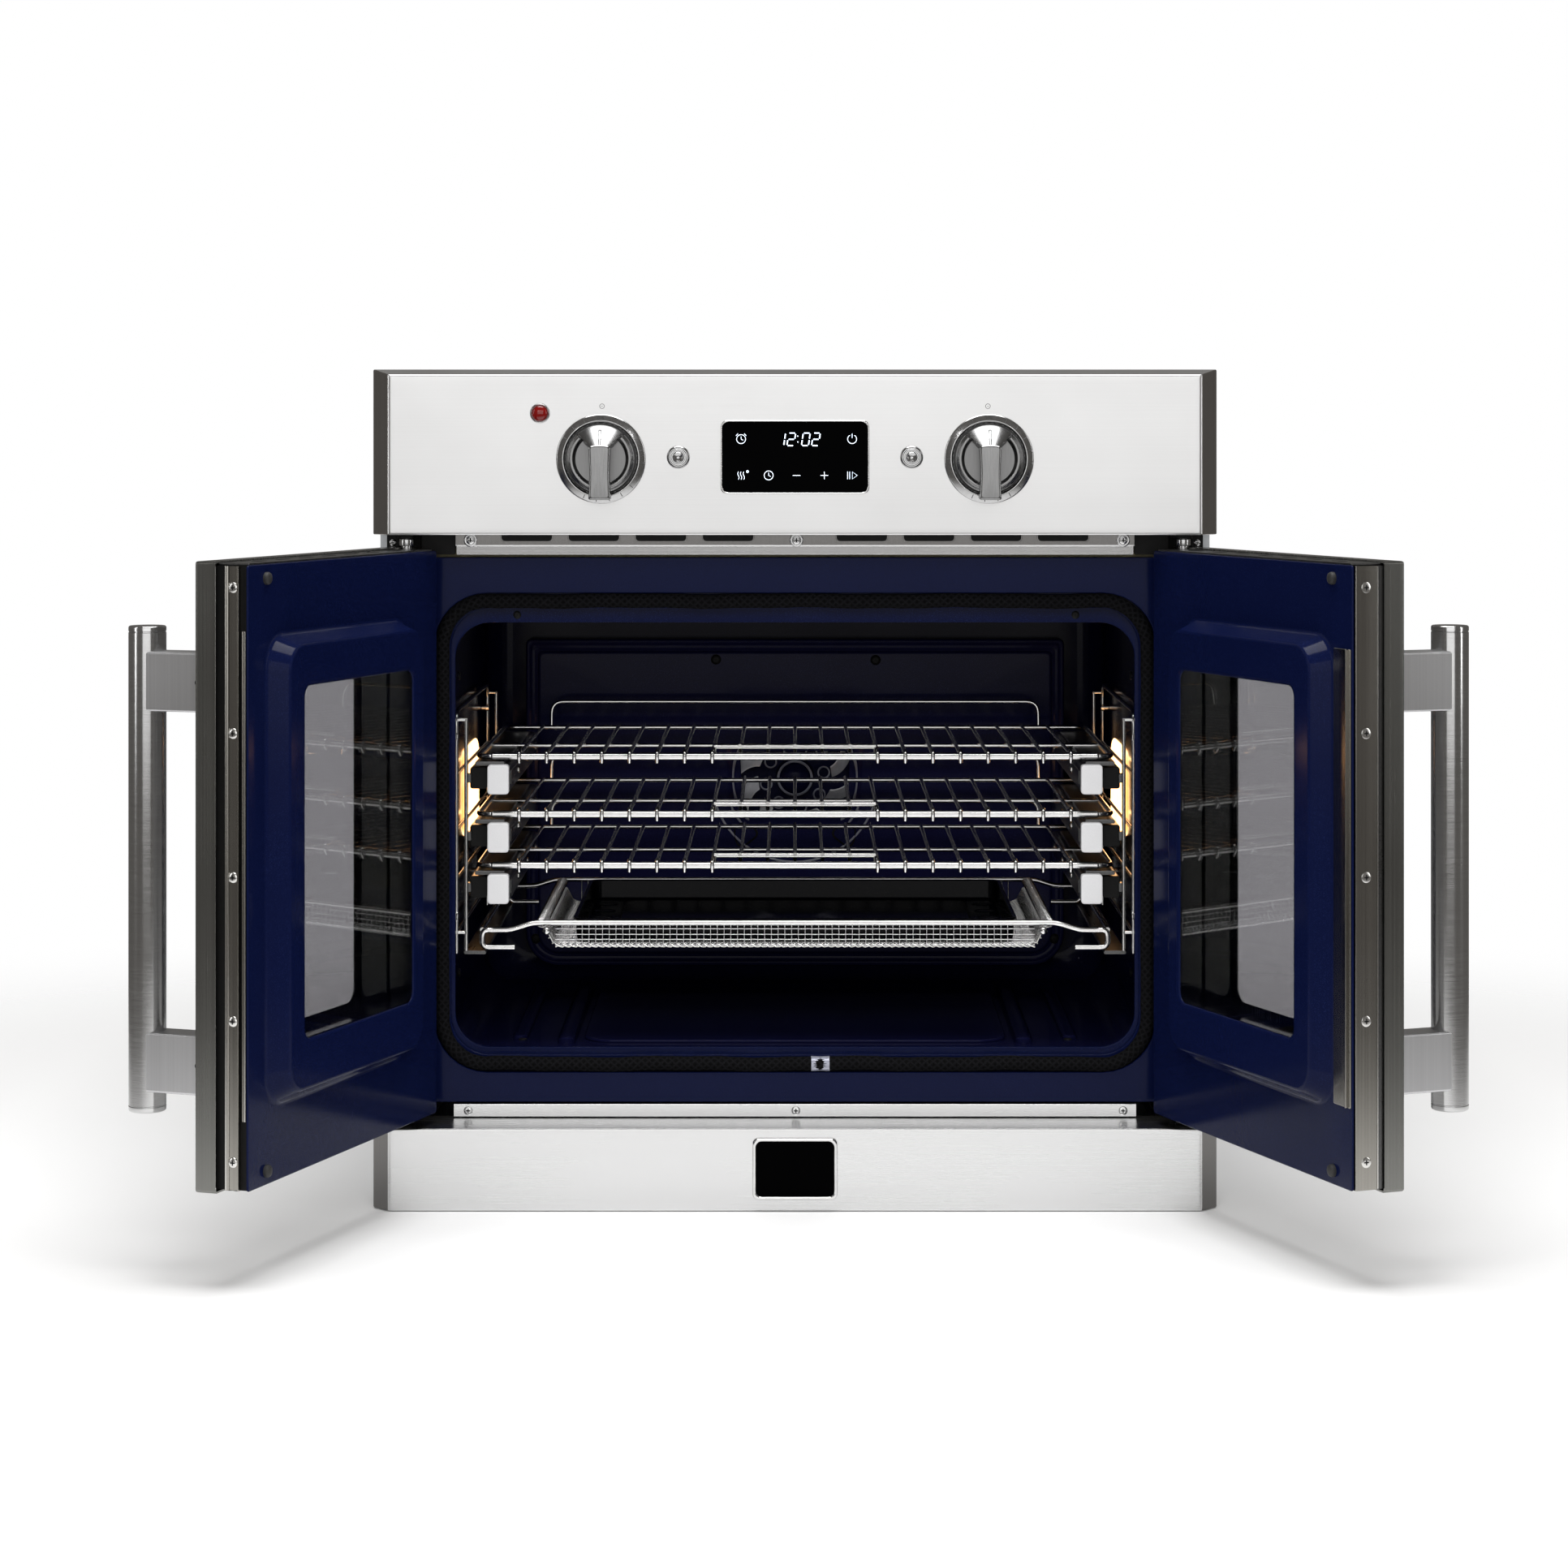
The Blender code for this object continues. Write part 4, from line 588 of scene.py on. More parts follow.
def rim(half_a, half_b, z, wide, front, back, radius, finish=0):
    """A raised frame round a rectangle, its section half round towards the front."""
    turn = np.linspace(0.0, math.pi, 7)
    rows = [(rectangle((-half_a, half_a), (z - half_b, z + half_b), radius), back)]
    for t in turn:
        d = wide / 2 * (1 - math.cos(t))
        rows.append((rectangle((-half_a + d, half_a - d), (z - half_b + d, z + half_b - d), radius),
                     front + (back - front) * (1 - math.sin(t)) * 0.6))
    d = wide
    rows.append((rectangle((-half_a + d, half_a - d), (z - half_b + d, z + half_b - d), radius), back))
    return loft(rows, finish=finish, ring=True)


def stroke(points, width=0.00032, closed=False):
    """A thin lit line half sunk in the display glass, through (x, z) points."""
    flat = np.array([(x, GLASS_Y, z) for x, z in points], float)
    return rod(flat, width, (0, 1, 0), 6, closed)


def ring_line(x, z, radius, start=0.0, end=360.0, width=0.00032):
    """A lit arc between two angles in degrees."""
    turn = np.radians(np.linspace(start, end, 25))
    points = np.stack([x + radius * np.cos(turn), z + radius * np.sin(turn)], axis=1)
    whole = abs(end - start) >= 360.0
    return stroke(points[:-1] if whole else points, width, whole)


SEGMENTS = {"a": ((0, 2), (1, 2)), "b": ((1, 2), (1, 1)), "c": ((1, 1), (1, 0)), "d": ((0, 0), (1, 0)),
            "e": ((0, 1), (0, 0)), "f": ((0, 2), (0, 1)), "g": ((0, 1), (1, 1))}
DIGITS = {"0": "abcdef", "1": "bc", "2": "abged"}
DIGIT_W, DIGIT_H, LEAN, SHORT = 0.0062, 0.0056, 0.13, 0.12


def digit(text, x, z):
    """One leaning seven-bar digit; each bar stops short of its corners."""
    bars = []
    for name in DIGITS[text]:
        (a, b), (c, d) = SEGMENTS[name]
        ends = [(a + (c - a) * t, b + (d - b) * t) for t in (SHORT, 1 - SHORT)]
        bars.append(stroke([(x + DIGIT_W * (p + LEAN * q), z + DIGIT_H * q) for p, q in ends], 0.0006))
    return bars


ICON_R, LOW_Z, HIGH_Z, DASH = 0.004, 0.6572, 0.6896, 0.0034


def clock_icon(x, z):
    """A ring with two hands."""
    return [ring_line(x, z, ICON_R), stroke([(x, z + 0.0024), (x, z), (x + 0.0018, z - 0.001)])]


marks = []
for text, x in (("1", -0.0162), ("2", -0.0072), ("0", 0.0058), ("2", 0.0148)):
    marks += digit(text, x, 0.6838)
marks += [stroke([(0.0024, z), (0.0026, z + 0.0009)], 0.0006) for z in (0.6866, 0.6918)]
ALARM_X, POWER_X, HEAT_X, CLOCK_X, MINUS_X, PLUS_X, LIGHT_X = -0.0481, 0.051, -0.0505, -0.0235, 0.0014, 0.0262, 0.047
marks += clock_icon(ALARM_X, HIGH_Z)
marks += [stroke([(ALARM_X + s * 0.0046, HIGH_Z + 0.003), (ALARM_X + s * 0.0028, HIGH_Z + 0.0048)]) for s in (-1, 1)]
marks += [ring_line(POWER_X, HIGH_Z, ICON_R, 120, 420),
          stroke([(POWER_X, HIGH_Z + 0.0048), (POWER_X, HIGH_Z + 0.001)])]
wave = np.linspace(0.0, 2 * math.pi, 13)
marks += [stroke(np.stack([HEAT_X + k * 0.0024 + 0.0006 * np.sin(wave), LOW_Z - 0.0036 + wave * 0.0011], axis=1))
          for k in range(3)]
marks += [ring_line(-0.0424, LOW_Z + DASH, 0.0009), *clock_icon(CLOCK_X, LOW_Z)]
marks += [stroke([(x - DASH, LOW_Z), (x + DASH, LOW_Z)]) for x in (MINUS_X, PLUS_X)]
marks += [stroke([(x, LOW_Z - DASH), (x, LOW_Z + DASH)]) for x in (PLUS_X, LIGHT_X, LIGHT_X + 0.0019)]
marks += [stroke([(0.0512, LOW_Z - 0.0032), (0.0512, LOW_Z + 0.0032), (0.0556, LOW_Z)], closed=True)]
pane = pillow((-DISPLAY_HALF_W, DISPLAY_HALF_W), (DISPLAY_Z - DISPLAY_HALF_H, DISPLAY_Z + DISPLAY_HALF_H),
              (GLASS_Y, -0.05), radius=0.005, edge=0.0006)
fixed("display_pane", [pane], [DISPLAY], ["display_glass"], slot="display_black")
fixed("display_marks", marks, [PIXELS], slot="display_black")
fixed("display_rim", [rim(0.0665, 0.0332, DISPLAY_Z, 0.0017, -0.057, -0.0545, 0.0062)], [CHROME])

# %% [markdown]
# ## Badge, indicator and buttons
# The badge stays a blank plate: only its chrome rim and black glass are kept. The indicator is a red dome in
# a bright collar; each button is turned in steps to a dished middle, inside a fixed collar.

# %% Badge, indicator and buttons
badge = pillow((-0.0355, 0.0355), (0.0128, 0.0634), (-0.0572, -0.0551), radius=0.0035, edge=0.0004)
fixed("badge_glass", [badge], [DISPLAY], ["badge_plate"], slot="display_black")
fixed("badge_rim", [rim(0.0379, 0.0276, 0.0381, 0.0032, -0.0588, -0.0551, 0.0052)], [CHROME])
LAMP_X, LAMP_Z = -0.2278, 0.7128
dome = [(0.0072, -0.0548), *[(0.0072 * math.cos(t), -0.0562 - 0.0034 * math.sin(t))
                             for t in np.linspace(0, 1.5, 7)]]
collar = [(0.0074, -0.0548), (0.0074, -0.0575), (0.008, -0.0582), (0.0087, -0.0572), (0.009, -0.0548)]


def hoop(profile, middle, sides=40, finish=0, axis="Y"):
    """A turned ring: its (radius, along) profile goes round and closes on itself."""
    return loft([(circle(*middle, radius, sides), along) for radius, along in profile], axis, finish, ring=True)


fixed("indicator_dome", [turned(dome, (LAMP_X, LAMP_Z))], [RED], ["indicator_lamp"], slot="indicator_red")
fixed("indicator_collar", [hoop(collar, (LAMP_X, LAMP_Z))], [CHROME])
BUTTON_X, BUTTON_Z = 0.1042, 0.6735
cap = [(0.0079, -0.048), (0.0079, -0.0578), (0.0073, -0.0586), (0.0064, -0.0586), (0.006, -0.0578),
       (0.0052, -0.0578), (0.0048, -0.0592), (0.0042, -0.0596), (0.0034, -0.0592), (0.002, -0.0584),
       (0.0008, -0.0582), (0.0001, -0.0582)]
ring = [(0.0086, -0.0545), (0.0086, -0.0562), (0.0092, -0.0568), (0.0101, -0.056), (0.0104, -0.0545)]
for side, name in SIDES:
    middle = (side * BUTTON_X, BUTTON_Z)
    piece(f"button_cap_{name}", f"{name}_button", "stainless_steel", [turned(cap, middle)], [TURNED_STEEL],
          [f"button_{name}"])
    fixed(f"button_collar_{name}", [hoop(ring, middle)], [TURNED_STEEL])

# %% [markdown]
# ## Knobs
# A cast and brushed knob: a round body, two sunken flats either side of a straight grip, and above the grip
# a polished shoulder that flares to the rim and carries the pointer groove. The body is one height surface
# over a polar grid; the grip is a separate block that reaches down past the rim.

# %% Knobs and their bezels
KNOB_X, KNOB_Z, KNOB_BACK = 0.1733, 0.672, -0.056
KNOB_R, GRIP_HALF, GRIP_LOW, GRIP_HIGH, GRIP_RISE = 0.0302, 0.0098, -0.0362, 0.0112, 0.0285


def smooth(value, low, high):
    """0 below low, 1 above high and t^2 (3 - 2t) between."""
    t = np.clip((value - low) / (high - low), 0.0, 1.0)
    return t * t * (3 - 2 * t)


def knob_body(x0):
    """Height above the panel over (radius, turn): rim bevel, minus the flats, plus the flared shoulder.

    The flats are 4.2 mm deep inside a radius of 22.2 mm, with a bevel up to 25.2 mm. The shoulder rises from
    the rim to the grip's top edge where |x| < 8.2 mm + 0.95 * (z - 9 mm).
    """
    radius = np.concatenate([np.linspace(0.0005, 0.029, 70), np.linspace(0.0293, KNOB_R, 6)])[:, None]
    turn = np.linspace(0.0, 2 * math.pi, 241)[None, :-1]
    x, z = radius * np.sin(turn), radius * np.cos(turn)
    fan_half = 0.0082 + 0.95 * np.clip(z - GRIP_HIGH + 0.0022, 0.0, 1.0)
    in_fan = smooth(fan_half - np.abs(x), -0.0012, 0.0012) * smooth(z, 0.006, 0.0085)
    slope = np.clip((0.0302 - radius) / (0.0302 - 0.0108), 0.0, 1.0)
    shoulder = 0.003 + 0.0155 * slope ** 0.8
    flat = smooth(0.0252 - radius, 0.0, 0.003)
    body = 0.0105 - 0.0042 * flat - 0.003 * smooth(radius, 0.0268, KNOB_R)
    height = body + in_fan * np.maximum(shoulder + 0.0075 - body, 0.0)
    groove = smooth(0.0011 - np.abs(x), 0.0, 0.0006) * smooth(z, 0.012, 0.0132) * smooth(0.0262 - z, 0.0, 0.001)
    height = height - 0.0012 * groove
    front = np.stack([x0 + x, KNOB_BACK - height, KNOB_Z + z], axis=2)
    edge = front[-1:].copy()
    edge[..., 1] = KNOB_BACK
    return skin(np.concatenate([front, edge]), lambda centres: (
        (np.hypot(centres[:, 0] - x0, centres[:, 2] - KNOB_Z) < 0.0222) & (centres[:, 1] > KNOB_BACK - 0.0075)
        & (centres[:, 1] < KNOB_BACK - 0.005)).astype(int))


def knob_grip(x0):
    """The grip over (height, way round): a rectangle whose half width is waisted and whose top is arched.

    x is scaled by 0.9 + 0.1 * |2 * (z - middle) / length| ^ 1.5, and near the top z gains
    1.4 mm * (1 - (x / half)^2).
    """
    rows = []
    for draw, height in ((0.0, 0.0045), (0.0, GRIP_RISE - 0.0022), (0.0003, GRIP_RISE - 0.001),
                         (0.0011, GRIP_RISE - 0.0003), (0.0022, GRIP_RISE)):
        outline = rectangle((-GRIP_HALF + draw, GRIP_HALF - draw), (GRIP_LOW + draw, GRIP_HIGH - draw), 0.002, 6)
        outline = np.concatenate([np.linspace(a, b, 9)[:-1] for a, b in zip(outline, np.roll(outline, -1, axis=0))])
        x, z = outline.T
        middle, length = (GRIP_LOW + GRIP_HIGH) / 2, GRIP_HIGH - GRIP_LOW
        waist = 0.9 + 0.1 * np.abs(2 * (z - middle) / length) ** 1.5
        arch = 0.0014 * smooth(z, 0.0, GRIP_HIGH) * (1 - (x / GRIP_HALF) ** 2)
        rows.append((np.stack([x0 + x * waist, KNOB_Z + z + arch], axis=1), KNOB_BACK - height))
    return loft(rows)


def tick(x0, turn, finish=1):
    """A short engraved mark on the bezel at a turn in degrees from the top."""
    s, c = math.sin(math.radians(turn)), math.cos(math.radians(turn))
    ends = [(x0 + r * s, y, KNOB_Z + r * c) for r, y in ((0.035, -0.0591), (0.0385, -0.0579))]
    return rod(ends, 0.00035, (0, 1, 0), 6, finish=finish)


bezel = [(0.04, -0.0551), (0.04, -0.0566), (0.0397, -0.0572), (0.0388, -0.0577), (0.0345, -0.0592),
         (0.0337, -0.0593), (0.033, -0.0588), (0.0322, -0.0551)]
for side, name in SIDES:
    x0 = side * KNOB_X
    spindle = turned([(0.003, -0.03), (0.003, -0.0575)], (x0, KNOB_Z), sides=16)
    piece(f"knob_body_{name}", f"{name}_knob", "stainless_steel", [knob_body(x0), knob_grip(x0), spindle],
          [KNOB_STEEL, KNOB_FLAT], [f"knob_{name}"], smooth=30)
    ticks = [tick(x0, turn) for turn in (-90, -60, -42, -24, 24, 42, 60, 78, 96, 114, 132, 150, 168, 186, 204)]
    seat = turned([(0.0322, -0.0549), (0.0322, -0.0553)], (x0, KNOB_Z), finish=1)
    top = (x0, 0, KNOB_Z + 0.0368)
    mark = hoop([(0.004, -0.0594), (0.0044, -0.05965), (0.0048, -0.0594), (0.0044, -0.0592)], top[::2], 24, 1)
    mark["points"] = (mark["points"] - top) * (0.55, 1, 0.35) + top
    fixed(f"knob_bezel_ring_{name}", [hoop(bezel, (x0, KNOB_Z), 64), seat, mark, *ticks], [TURNED_STEEL, INK],
          [f"knob_bezel_{name}"])
    zero = (x0 - side * 0.001, 0.719)
    dot = [hoop([(0.0018, -0.05495), (0.0021, -0.05515), (0.0024, -0.05495), (0.0021, -0.0548)], zero, 24),
           turned([(0.0004, -0.0549), (0.0004, -0.05512)], zero, sides=12)]
    fixed(f"knob_zero_mark_{name}", dot, [INK], slot="black_plastic")

# %% [markdown]
# ## Strips above and below the cavity
# Pressed sheet strips close the gaps over and under the face frame. The upper one lets the cooling air out
# through long slots, and its lip steps back so that the shut doors clear it. Screws sit in pressed rounds.

# %% Vent strip and bottom strip


def folded(outside, inside, half, finish=0):
    """A folded sheet along X from -half to half: at each (y, z) of its fold, four corners go round its thickness."""
    rows = [[(-half, *outer), (half, *outer), (half, *inner), (-half, *inner)]
            for outer, inner in zip(outside, inside)]
    return skin(np.array(rows), finish)


STRIP_HALF, SLOT_START, SLOT_PITCH = 0.307, 0.0605, 0.0607
outside = [(-0.0135, 0.612), (-0.0135, 0.5938), (-0.0131, 0.593), (-0.004, 0.5926), (-0.0035, 0.5918),
           (-0.0035, 0.585), (-0.003, 0.5845)]
inside = [(-0.012, 0.612), (-0.012, 0.5946), (-0.0116, 0.5943), (-0.0022, 0.5941), (-0.0018, 0.5936),
          (-0.0018, 0.585), (-0.0018, 0.5845)]
# Above z = 0.5935 the strip lies in the control panel's shadow and wears the darker steel: painted shadow.
strip = [folded(outside, inside, STRIP_HALF, lambda centres: np.where(centres[:, 2] > 0.5935, 2, 0))]
for k in range(4):
    for side in (-1, 1):
        x = side * (SLOT_START + k * SLOT_PITCH)
        # The pressed rims round the slots, in the same shadow, also wear the darker steel: painted shadow.
        strip.append(pillow((x - 0.0238, x + 0.0238), (0.5962, 0.6085), (-0.01385, -0.013), radius=0.004,
                            edge=0.0003, finish=2))
        # Inside each rim a black plate stands for the open slot: painted shade.
        strip.append(pillow((x - 0.0228, x + 0.0228), (0.5971, 0.608), (-0.0141, -0.013), radius=0.0032,
                            edge=0.0001, finish=1))
for x in (-0.2935, 0.0014, 0.2969):
    boss = [(0.0062, -0.0133), (0.006, -0.014), (0.0052, -0.0145), (0.0042, -0.0143), (0.003, -0.0138)]
    strip += [turned(boss, (x, 0.598), sides=28), *screw(x, 0.598, -0.0141, 0.004, 0.0016)]
ends = both([pillow((0.3085, 0.3395), (0.5845, 0.612), (0.001, 0.003), radius=0.001, finish=1)])
fixed("vent_strip_pressed", [*strip, *ends], [TRIM_STEEL, BLACK, PAINTED_SHADE_STEEL], ["vent_strip"])
outside = [(-0.003, 0.0858), (-0.0036, 0.0852), (-0.0036, 0.075), (-0.0031, 0.0745), (0.012, 0.0745)]
inside = [(-0.0021, 0.0858), (-0.0021, 0.0852), (-0.0021, 0.0765), (-0.0018, 0.076), (0.012, 0.076)]
strip = [folded(outside, inside, 0.3095)]
for x in (-0.2965, 0.0008, 0.2977):
    strip += screw(x, 0.08, -0.0036, 0.004, 0.001)
fixed("bottom_strip_pressed", strip, [TRIM_STEEL, BLACK], ["bottom_strip"])

# %% [markdown]
# ## Hinge posts
# A heavy bracket each side carries a short pin at the top and the bottom, and the door hangs on the two. The
# arm and bracket are black, the pin is bright turned steel.

# %% Hinge posts
PIN_X, PIN_Y = 0.3495, -0.0295
for side, name in SIDES:
    post = [pillow((0.3405, 0.358), (0.0745, 0.6032), (0.0085, 0.015), radius=0.001, finish=1)]
    for low, high in ((0.6, 0.6032), (0.0745, 0.0777)):
        post.append(pillow((0.342, 0.357), (PIN_Y - 0.0085, 0.015), (low, high), "Z", 0.0035, 0.0005, finish=1))
    for low, high in ((0.572, 0.6015), (0.076, 0.1)):
        pin = [(0.004, low), (0.0045, low + 0.0006), (0.0045, high - 0.0006), (0.004, high)]
        post.append(turned(pin, (PIN_X, PIN_Y), "Z", 28))
    post.append(turned([(0.0062, 0.5935), (0.0066, 0.5942), (0.0066, 0.5988), (0.0062, 0.5998)], (PIN_X, PIN_Y),
                       "Z", 28))
    post.append(pillow((0.359, 0.37), (0.588, 0.6035), (-0.006, 0.006), radius=0.002, finish=1))
    post += screw(0.3645, 0.5955, -0.006, 0.0032, 0.0014, 0, 1)
    if side < 0:
        post = [flipped(part) for part in post]
    fixed(f"hinge_pins_{name}", post, [TURNED_STEEL, BLACK], [f"hinge_post_{name}"])

# %% [markdown]
# ## Face frame and rope gasket
# The doors close on an enamelled steel frame. A groove holds a braided glass rope; inside it the frame steps
# back twice to the cavity's lip. The frame is one path of rounded rectangles, from the outside round the
# front and into the opening. The rope is a round bar along a slightly wavy rounded rectangle.

# %% Face frame and gasket


def opening(half, low, high, corner, y, draw=0.0):
    """One row of the frame: a rounded rectangle drawn in by a little, and its depth."""
    return rectangle((-half + draw, half - draw), (low + draw, high - draw), corner, 8), y


SEAT, REBATE, LIP = (0.3278, 0.1143, 0.5495, 0.0488), (0.3135, 0.1285, 0.5355, 0.036), (0.31, 0.1343, 0.5218, 0.032)
OUTER = (0.336, 0.087, 0.582, 0.004)
rows = [opening(*shape, *step) for shape, steps in (
    (OUTER, [(0.02,), (0.0012,), (0.0003, 0.0004), (0.0, 0.0012)]),
    (SEAT, [(0.0, -0.001), (0.0003, -0.0003), (0.0011,), (0.0098,)]),
    (REBATE, [(0.0098, -0.0008), (0.0102, -0.0002), (0.011,), (0.016,)]),
    (LIP, [(0.016, -0.0009), (0.0163, -0.0002), (0.0172,), (0.02,)])) for step in steps]
frame_parts = [loft(rows, ring=True)]
for x in (-0.2535, 0.256):
    frame_parts += screw(x, 0.5288, 0.016, 0.0036, 0.0012, 1, 1)
fixed("face_frame_enamelled", frame_parts, [ENAMEL_BLUE, BLACK], ["face_frame"], slot="blue_enamel")

GASKET_R = 0.0065
line = rectangle((-0.3205, 0.3205), (0.1216, 0.5422), 0.0415, 40)
gaps = np.linalg.norm(np.roll(line, -1, axis=0) - line, axis=1)
reach = np.concatenate([[0.0], np.cumsum(gaps)])
even = np.linspace(0.0, reach[-1], 521)[:-1]
closed_line = np.vstack([line, line[:1]])
rope_x = np.interp(even, reach, closed_line[:, 0])
rope_z = np.interp(even, reach, closed_line[:, 1])
wander = 0.0005 * np.sin(even * 41.0) + 0.0003 * np.sin(even * 97.0 + 1.0)
path = np.stack([rope_x * (1 + wander), 0.0024 + 0.4 * wander, rope_z + wander], axis=1)
thickness = GASKET_R * (0.985 + 0.02 * np.sin(even * 310.0))
fixed("gasket_rope", [rod(path, thickness, (0, 1, 0), 20, True)], [ROPE], ["door_gasket"], slot="gasket_rope")
# The sleeve wears the pale rim finish of painted highlights.
sleeve = [(0.006, 0.014), (0.0069, 0.015), (0.0067, 0.0175), (0.0064, 0.023), (0.0067, 0.0285),
          (0.0069, 0.0312), (0.006, 0.032)]
fixed("gasket_sleeve", [turned(sleeve, (0.0027, 0.1216), "X", 28)], [PAINTED_RIM_HIGHLIGHT], slot="gasket_rope")

# %% [markdown]
# ## Cavity
# The oven's room is a welded box with coved corners so that it wipes clean, all in near-black glossy enamel.
# Inner and outer skins are one run of rounded rectangles: out of the rear cove, forward to the mouth, then
# back over the outside. The floor has a raised middle and ribs running front to back at the sides.

# %% Cavity liner
HALF, LOW, HIGH, MOUTH, BACK, COVE = 0.3165, 0.132, 0.55, 0.021, 0.44, 0.026
turn = np.linspace(math.pi / 2, 0.0, 9)
rows = [(rectangle((-HALF + d, HALF - d), (LOW + d, HIGH - d), 0.03, 8), y) for d, y in zip(
    COVE * (1 - np.cos(turn)), BACK - COVE * (1 - np.sin(turn)))]
rows += [(rectangle((-HALF - d, HALF + d), (LOW - d, HIGH + d), 0.03 + d, 8), y) for d, y in (
    (0.0, 0.3), (0.0, 0.15), (0.0, MOUTH), (SHEET, MOUTH), (SHEET, BACK + SHEET))]
liner = [loft(rows)]
liner.append(pillow((-0.196, 0.196), (0.052, 0.385), (LOW - 0.001, LOW + 0.0026), "Z", 0.03, 0.002, steps=8))
liner += both([pillow((0.203, 0.219), (0.046, 0.4), (LOW - 0.001, LOW + 0.0055), "Z", 0.0078, 0.0054, steps=8),
               pillow((0.248, 0.262), (0.07, 0.38), (LOW - 0.001, LOW + 0.0035), "Z", 0.0068, 0.0034, steps=8)])
for x in (-0.2524, -0.1258, 0.0006, 0.127, 0.253):
    liner += screw(x, 0.07, LOW, 0.004, 0.0012, 1, 1, "Z", 1)
for z in (0.1865, 0.466):
    for side in (-1, 1):
        liner += screw(0.12, z, side * HALF, 0.004, 0.0014, 1, 1, "X", -side)
fixed("cavity_enamelled", liner, [ENAMEL_DARK, BLACK], ["cavity_liner"], slot="blue_enamel")

# %% [markdown]
# ## Convection baffle and fan
# A pressed cover hides the fan and its ring heater: a rounded plate with a stepped border, dished round the
# intake. Each of its corners' outline points is pulled along its own radius to make the round opening, so
# rectangle and circle rows have matching columns. Behind it turns a wheel of curved vanes.

# %% Baffle
FAN_Z, HOLES, HOLE_RING = 0.34, 8, 0.03
BAFFLE = ((-0.2755, 0.2755), (0.1486, 0.483))


def plate_row(draw, y):
    """The baffle's outline drawn in: tight corners above its middle height and wide ones below."""
    (a, b), (c, d) = BAFFLE
    tight, wide = [rectangle((a + draw, b - draw), (c + draw, d - draw), max(radius - draw, 0.004), 8)
                   for radius in (0.006, 0.034)]
    return np.where(wide[:, 1:] > FAN_Z, tight, wide), y


def round_row(radius, y):
    """The same number of points on a circle round the fan."""
    start = plate_row(0.016, 0.0)[0] - (0.0, FAN_Z)
    return start / np.linalg.norm(start, axis=1, keepdims=True) * radius + (0.0, FAN_Z), y


border = [(0.0, 0.4392), (0.0, 0.413), (0.0007, 0.4112), (0.002, 0.4101), (0.0042, 0.4103), (0.0056, 0.4124),
          (0.007, 0.4136), (0.0118, 0.4136), (0.013, 0.412), (0.014, 0.4108), (0.0155, 0.4103)]
intake = [(0.079, 0.4103), (0.0765, 0.4108), (0.0745, 0.4128), (0.069, 0.415), (0.066, 0.416),
          (0.063, 0.415), (0.0622, 0.4162), (0.064, 0.4174), (0.0745, 0.4145), (0.079, 0.412)]
behind = [(0.0155, 0.412), (0.004, 0.415), (0.0015, 0.416), (0.0015, 0.4392)]
rows = [row(*step) for row, steps in ((plate_row, border), (round_row, intake), (plate_row, behind))
        for step in steps]
baffle = [loft(rows, ring=True)]
# The rings and ridges below wear the pale rim finish: painted highlights on the dark enamel.
baffle.append(hoop([(0.0626, 0.4142), (0.064, 0.4132), (0.0654, 0.4142), (0.064, 0.4152)], (0.0, FAN_Z), 72, 3))
ridge = np.radians(np.linspace(200.0, 340.0, 40))
for radius in (0.0712, 0.085):
    baffle.append(rod(np.stack([radius * np.cos(ridge), np.full(40, 0.4106 + 0.0016 * (radius < 0.08)),
                                FAN_Z + radius * np.sin(ridge)], axis=1), 0.0012, (0, 1, 0), 8, finish=3))
for k in range(HOLES):
    spoke = (0.25 + k) * 2 * math.pi / HOLES
    baffle.append(hoop([(0.005, 0.4166), (0.0058, 0.4158), (0.0066, 0.4166), (0.0058, 0.4172)],
                       (HOLE_RING * math.cos(spoke), FAN_Z + HOLE_RING * math.sin(spoke)), 20, 3))
baffle.append(hoop([(0.016, 0.4166), (0.0172, 0.4154), (0.0184, 0.4166), (0.0172, 0.4172)], (0.0, FAN_Z), 40, 3))
lobe = rectangle((-0.016, 0.016), (-0.011, 0.011), 0.01, 8)
lobe[:, 0] *= 0.72 - 22.0 * lobe[:, 1]
slant = 0.65
tilt = np.array([[math.cos(slant), -math.sin(slant)], [math.sin(slant), math.cos(slant)]])
lobes = [(draw * lobe @ tilt + (0.052, FAN_Z - 0.056), y) for draw, y in (
    (1.0, 0.4112), (1.0, 0.4098), (0.93, 0.4094), (0.86, 0.4098), (0.84, 0.4104))]
baffle += both([loft(lobes, finish=1)])
for x, z, y in ((-0.0808, 0.4815 - 0.0195, 0.4103), (0.0824, 0.4615, 0.4103), (-0.2655, 0.176, 0.4136),
                (0.2655, 0.176, 0.4136)):
    baffle += screw(x, z, y, 0.0052, 0.0022, 1, 1)
fixed("baffle_pressed", baffle, [ENAMEL_BACK, BLACK, SCREW_STEEL, PAINTED_RIM_HIGHLIGHT],
      ["convection_baffle"], slot="blue_enamel")

# %% Fan


def vane(turn, inner, outer, sweep, lean, low, high, thick=0.0006, middle=(0.0, FAN_Z), axis="Y", finish=0):
    """A thin plate: angle = turn + sweep * t^1.4 over radius inner to outer, and its front edge leans on by lean."""
    t = np.linspace(0.0, 1.0, 8)
    radius, angle = inner + (outer - inner) * t, turn + sweep * t ** 1.4
    corners = []
    for shift, depth in ((-thick, low), (-thick, high), (thick, high), (thick, low)):
        at = angle + shift / radius + lean * (depth == low)
        corners.append(lay(np.stack([middle[0] + radius * np.cos(at), middle[1] + radius * np.sin(at)], axis=1),
                           depth, axis))
    return skin(np.stack(corners, axis=1), finish)


